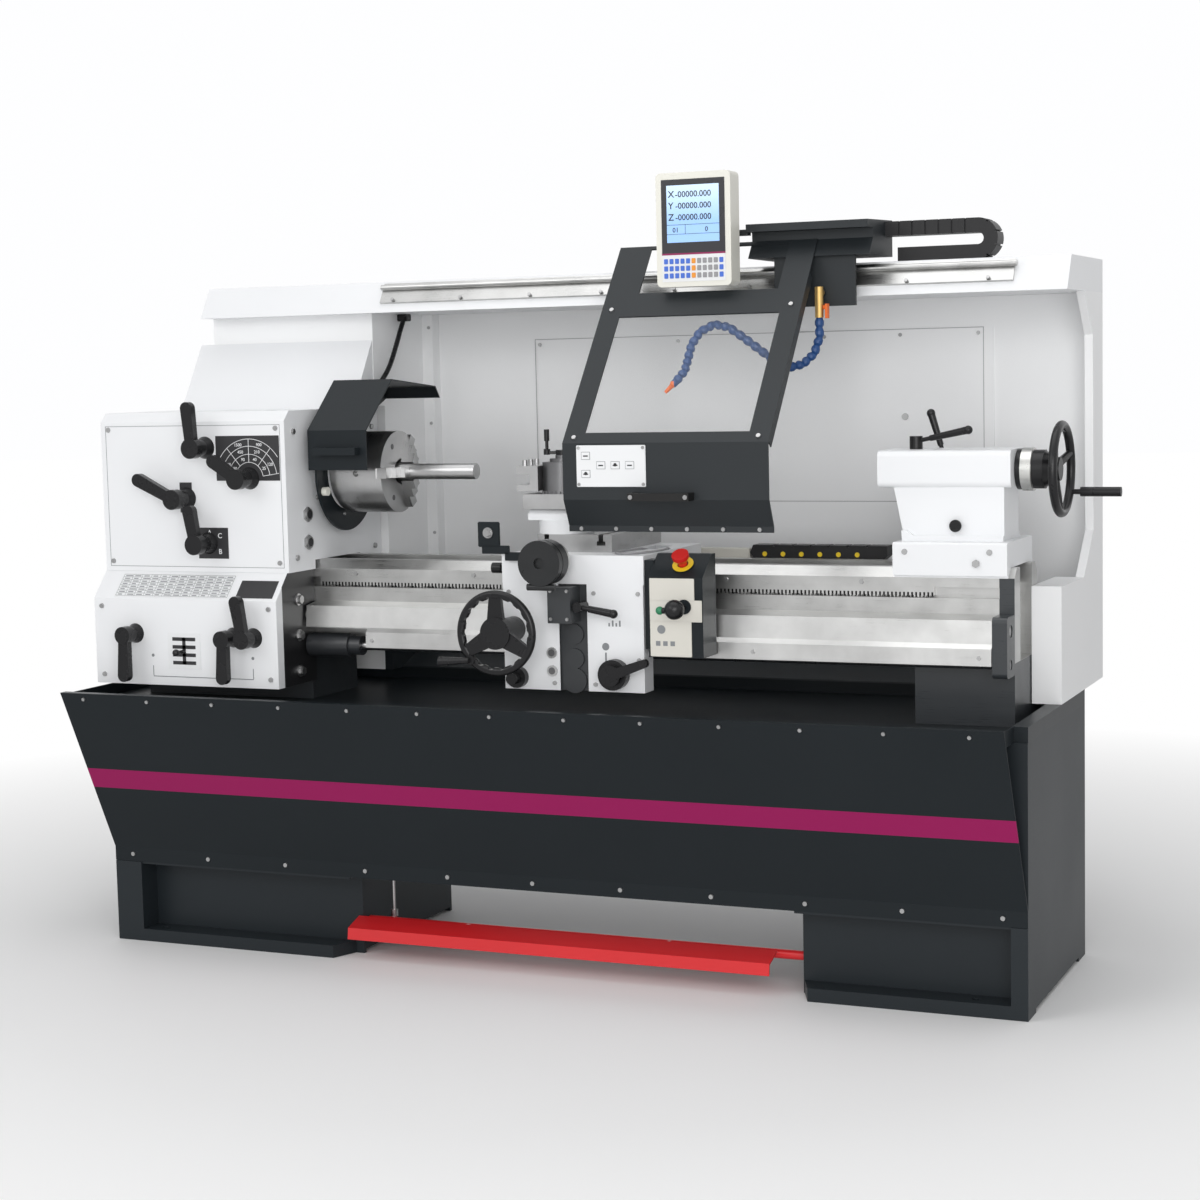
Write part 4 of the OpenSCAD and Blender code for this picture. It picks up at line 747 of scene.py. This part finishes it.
# tailstock: plug, screws and clamping nut
p = Piece("tailstock_plug", black, "tailstock")
p.rod(14, (972, -80, 1066), (972, -84, 1066))
p.done()
p = Piece("tailstock_screws", screw_steel, "tailstock")
for x in (865, 1060):
    screw(p, (x, -125, 1010), (0, -1, 0), 7.0, 4.0)
p.rod(9, (1030, -126, 985), (1030, -133, 985), sides=6)
p.done()

# guide bushes of the chuck guard and the screws of its ring
p = Piece("guard_bushes", cream, "chuck_guard")
RING_X = -642
for a in (200, 320, 95):
    y, z = round_spindle(128, a)
    p.rod(11, (RING_X, y, z), (RING_X + 14, y, z))
p.done()
p = Piece("guard_ring_screws", screw_steel, "chuck_guard")
for a in range(0, 360, 60):
    screw(p, (RING_X, *round_spindle(108, a + 20)), (1, 0, 0), 4.5, 3.0)
p.done()

# chuck face screws
p = Piece("chuck_screws", dark_iron, "spindle_set")
for a in (0, 120, 240):
    y, z = round_spindle(74, a)
    p.rod(7, (-487.4, y, z), (-486.4, y, z))
p.done()

# bent bracket with a bolt beside the cross slide wheel, and black knobs on the saddle and the apron
p = Piece("wheel_bracket", base_paint, "carriage")
p.box((-142, -263, 1022), (-84, -258, 1082), bevel=2.0)
p.box((-132, -263, 1006), (-60, -258, 1026), bevel=1.0)
p.box((-72, -263, 990), (-8, -250.5, 1010), bevel=1.0)
p.done()
p = Piece("bracket_bolt", screw_steel, "carriage")
p.rod(13, (-114, -263, 1056), (-114, -266, 1056))
p.rod(9, (-114, -265.5, 1056), (-114, -275, 1056), sides=6)
p.done()
p = Piece("carriage_knobs", black, "carriage")
p.rod(9, (-85, -200, 967), (-118, -200, 967))
p.rod(13, (-110, -200, 967), (-134, -200, 967))
p.rod(25, (-48, -249, 712), (-48, -270, 712))
p.rod(14, (-48, -269, 712), (-48, -296, 712))
p.done()

# screws of the covers and of the rack
p = Piece("cover_screws", screw_steel, "base")
for x in (-480, 0, 520, 1050):
    screw(p, (x, -187.5, 780), (0, -1, 0.05), 5.0, 3.0)
for i in range(5):
    screw(p, (-560 + i * 330, -114.2, 940), (0, -1, 0), 6.0, 3.0)
p.done()


def cable(name, points, r, look, body):
    """A free cord through points in millimetres."""
    curve = bpy.data.curves.new(name, "CURVE")
    curve.dimensions = "3D"
    curve.bevel_depth = r * MM
    curve.bevel_resolution = 3
    line = curve.splines.new("BEZIER")
    line.bezier_points.add(len(points) - 1)
    for knot, q in zip(line.bezier_points, points):
        knot.co = v(*q)
        knot.handle_left_type = knot.handle_right_type = "AUTO"
    curve.materials.append(look.mat)
    o = bpy.data.objects.new(name, curve)
    scene.collection.objects.link(o)
    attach(o, body)


# cables: from the hood's gland into the left box, and a thin loop on the saddle
HOOD_CABLE = ((-638, 332, 1588), (-636, 318, 1572), (-635, 300, 1549), (-634, 283, 1525), (-634, 266, 1500),
              (-634, 249, 1476), (-636, 232, 1452), (-641, 215, 1430), (-648, 199, 1411), (-658, 186, 1397))
cable("hood_cable", HOOD_CABLE, 6.5, black, "base")
p = Piece("hood_gland", black, "base")
p.box((-652, 316, 1576), (-624, 346, 1595), bevel=2.0)
p.done()
SADDLE_LOOP = ((262, -40, 1001), (265, -60, 1007), (268, -95, 1007), (267, -130, 1007), (261, -165, 1007),
               (249, -197, 1007), (230, -219, 1007), (208, -222, 1007), (190, -206, 1007), (183, -178, 1007),
               (186, -146, 1007), (194, -112, 1007), (204, -80, 1007), (212, -50, 1001))
cable("saddle_loop", SADDLE_LOOP, 2.6, grey_key, "carriage")

# floor and light
floor_mat = Mat("studio floor", (0.93, 0.93, 0.93), 0.7)
floor_mat.put("Roughness", floor_mat.p.noise(4.0) * 0.1 + 0.62)
# far from the machine the floor turns into the white of the backdrop, for the eye alone
FLOOR_FADE_FROM, FLOOR_FADE_OVER = 1.4, 2.4
floor_x, floor_y, _ = floor_mat.p.xyz()
away = (floor_x * floor_x + floor_y * floor_y).math("SQRT")
seen = floor_mat.p.node("ShaderNodeLightPath", out="Is Camera Ray")
white = floor_mat.p.node("ShaderNodeEmission", {}, {"Color": (1.0, 1.0, 1.0, 1.0)})
surface = S(floor_mat.tree, floor_mat.bsdf.outputs[0])
blend = ((away - FLOOR_FADE_FROM) / FLOOR_FADE_OVER).clamp() * seen
mixed = blend.node("ShaderNodeMixShader", {}, {0: blend, 1: surface, 2: white})
floor_mat.tree.links.new(mixed.socket, floor_mat.tree.nodes["Material Output"].inputs["Surface"])
mesh = bpy.data.meshes.new("studio floor")
mesh.from_pydata([(-30, -30, 0), (30, -30, 0), (30, 30, 0), (-30, 30, 0)], [], [(0, 1, 2, 3)])
mesh.materials.append(floor_mat.mat)
floor = bpy.data.objects.new("studio_floor", mesh)
floor.location.z = -0.0005
scene.collection.objects.link(floor)

world = bpy.data.worlds.new("studio")
scene.world = world
world.use_nodes = True
background = world.node_tree.nodes["Background"]
background.inputs["Color"].default_value = (0.99, 0.992, 1.0, 1.0)
# white to the eye and in what metal and glass mirror, weaker as a light
SKY_AS_LIGHT = 0.42
sky = S(world.node_tree, background.outputs[0])
camera_ray = sky.node("ShaderNodeLightPath", out="Is Camera Ray")
glossy_ray = sky.node("ShaderNodeLightPath", out="Is Glossy Ray")
through_ray = sky.node("ShaderNodeLightPath", out="Is Transmission Ray")
strength = (camera_ray + glossy_ray + through_ray).clamp() * (1.0 - SKY_AS_LIGHT) + SKY_AS_LIGHT
world.node_tree.links.new(strength.socket, background.inputs["Strength"])


def area(name, place, aim, size, power):
    """A soft lamp of size metres that looks from place to aim."""
    light = bpy.data.lights.new(name, "AREA")
    light.shape = "RECTANGLE"
    light.size, light.size_y = size
    light.energy = power
    o = bpy.data.objects.new(name, light)
    o.location = place
    o.rotation_euler = (Vector(aim) - Vector(place)).to_track_quat("-Z", "Y").to_euler()
    scene.collection.objects.link(o)


area("key", (-2.6, -4.6, 3.6), (0, 0, 0.9), (3.0, 2.4), 50)
area("fill", (2.6, -5.8, 2.2), (0, 0, 1.1), (4.5, 3.4), 180)
area("top", (0.2, -0.6, 5.0), (0, 0, 0.8), (4.5, 3.0), 55)

# camera, fitted to the photograph
CAMERA_PLACE = (2.2832, -5.1498, 1.4352)
LENS = 68.81
yaw, pitch, roll = math.radians(23.37), math.radians(5.73), math.radians(1.30)
level = math.cos(pitch)
forward = Vector((-math.sin(yaw) * level, math.cos(yaw) * level, -math.sin(pitch)))
right = Vector((math.cos(yaw), math.sin(yaw), 0.0))
down = forward.cross(right)
rolled_right = right * math.cos(roll) + down * math.sin(roll)
rolled_down = down * math.cos(roll) - right * math.sin(roll)
cam = bpy.data.cameras.new("camera")
cam.sensor_width = 36.0
cam.lens = LENS
cam.clip_end = 100.0
camera = bpy.data.objects.new("camera", cam)
turn = Matrix((rolled_right, -rolled_down, -forward)).transposed().to_4x4()
camera.matrix_world = Matrix.Translation(CAMERA_PLACE) @ turn
scene.collection.objects.link(camera)
scene.camera = camera
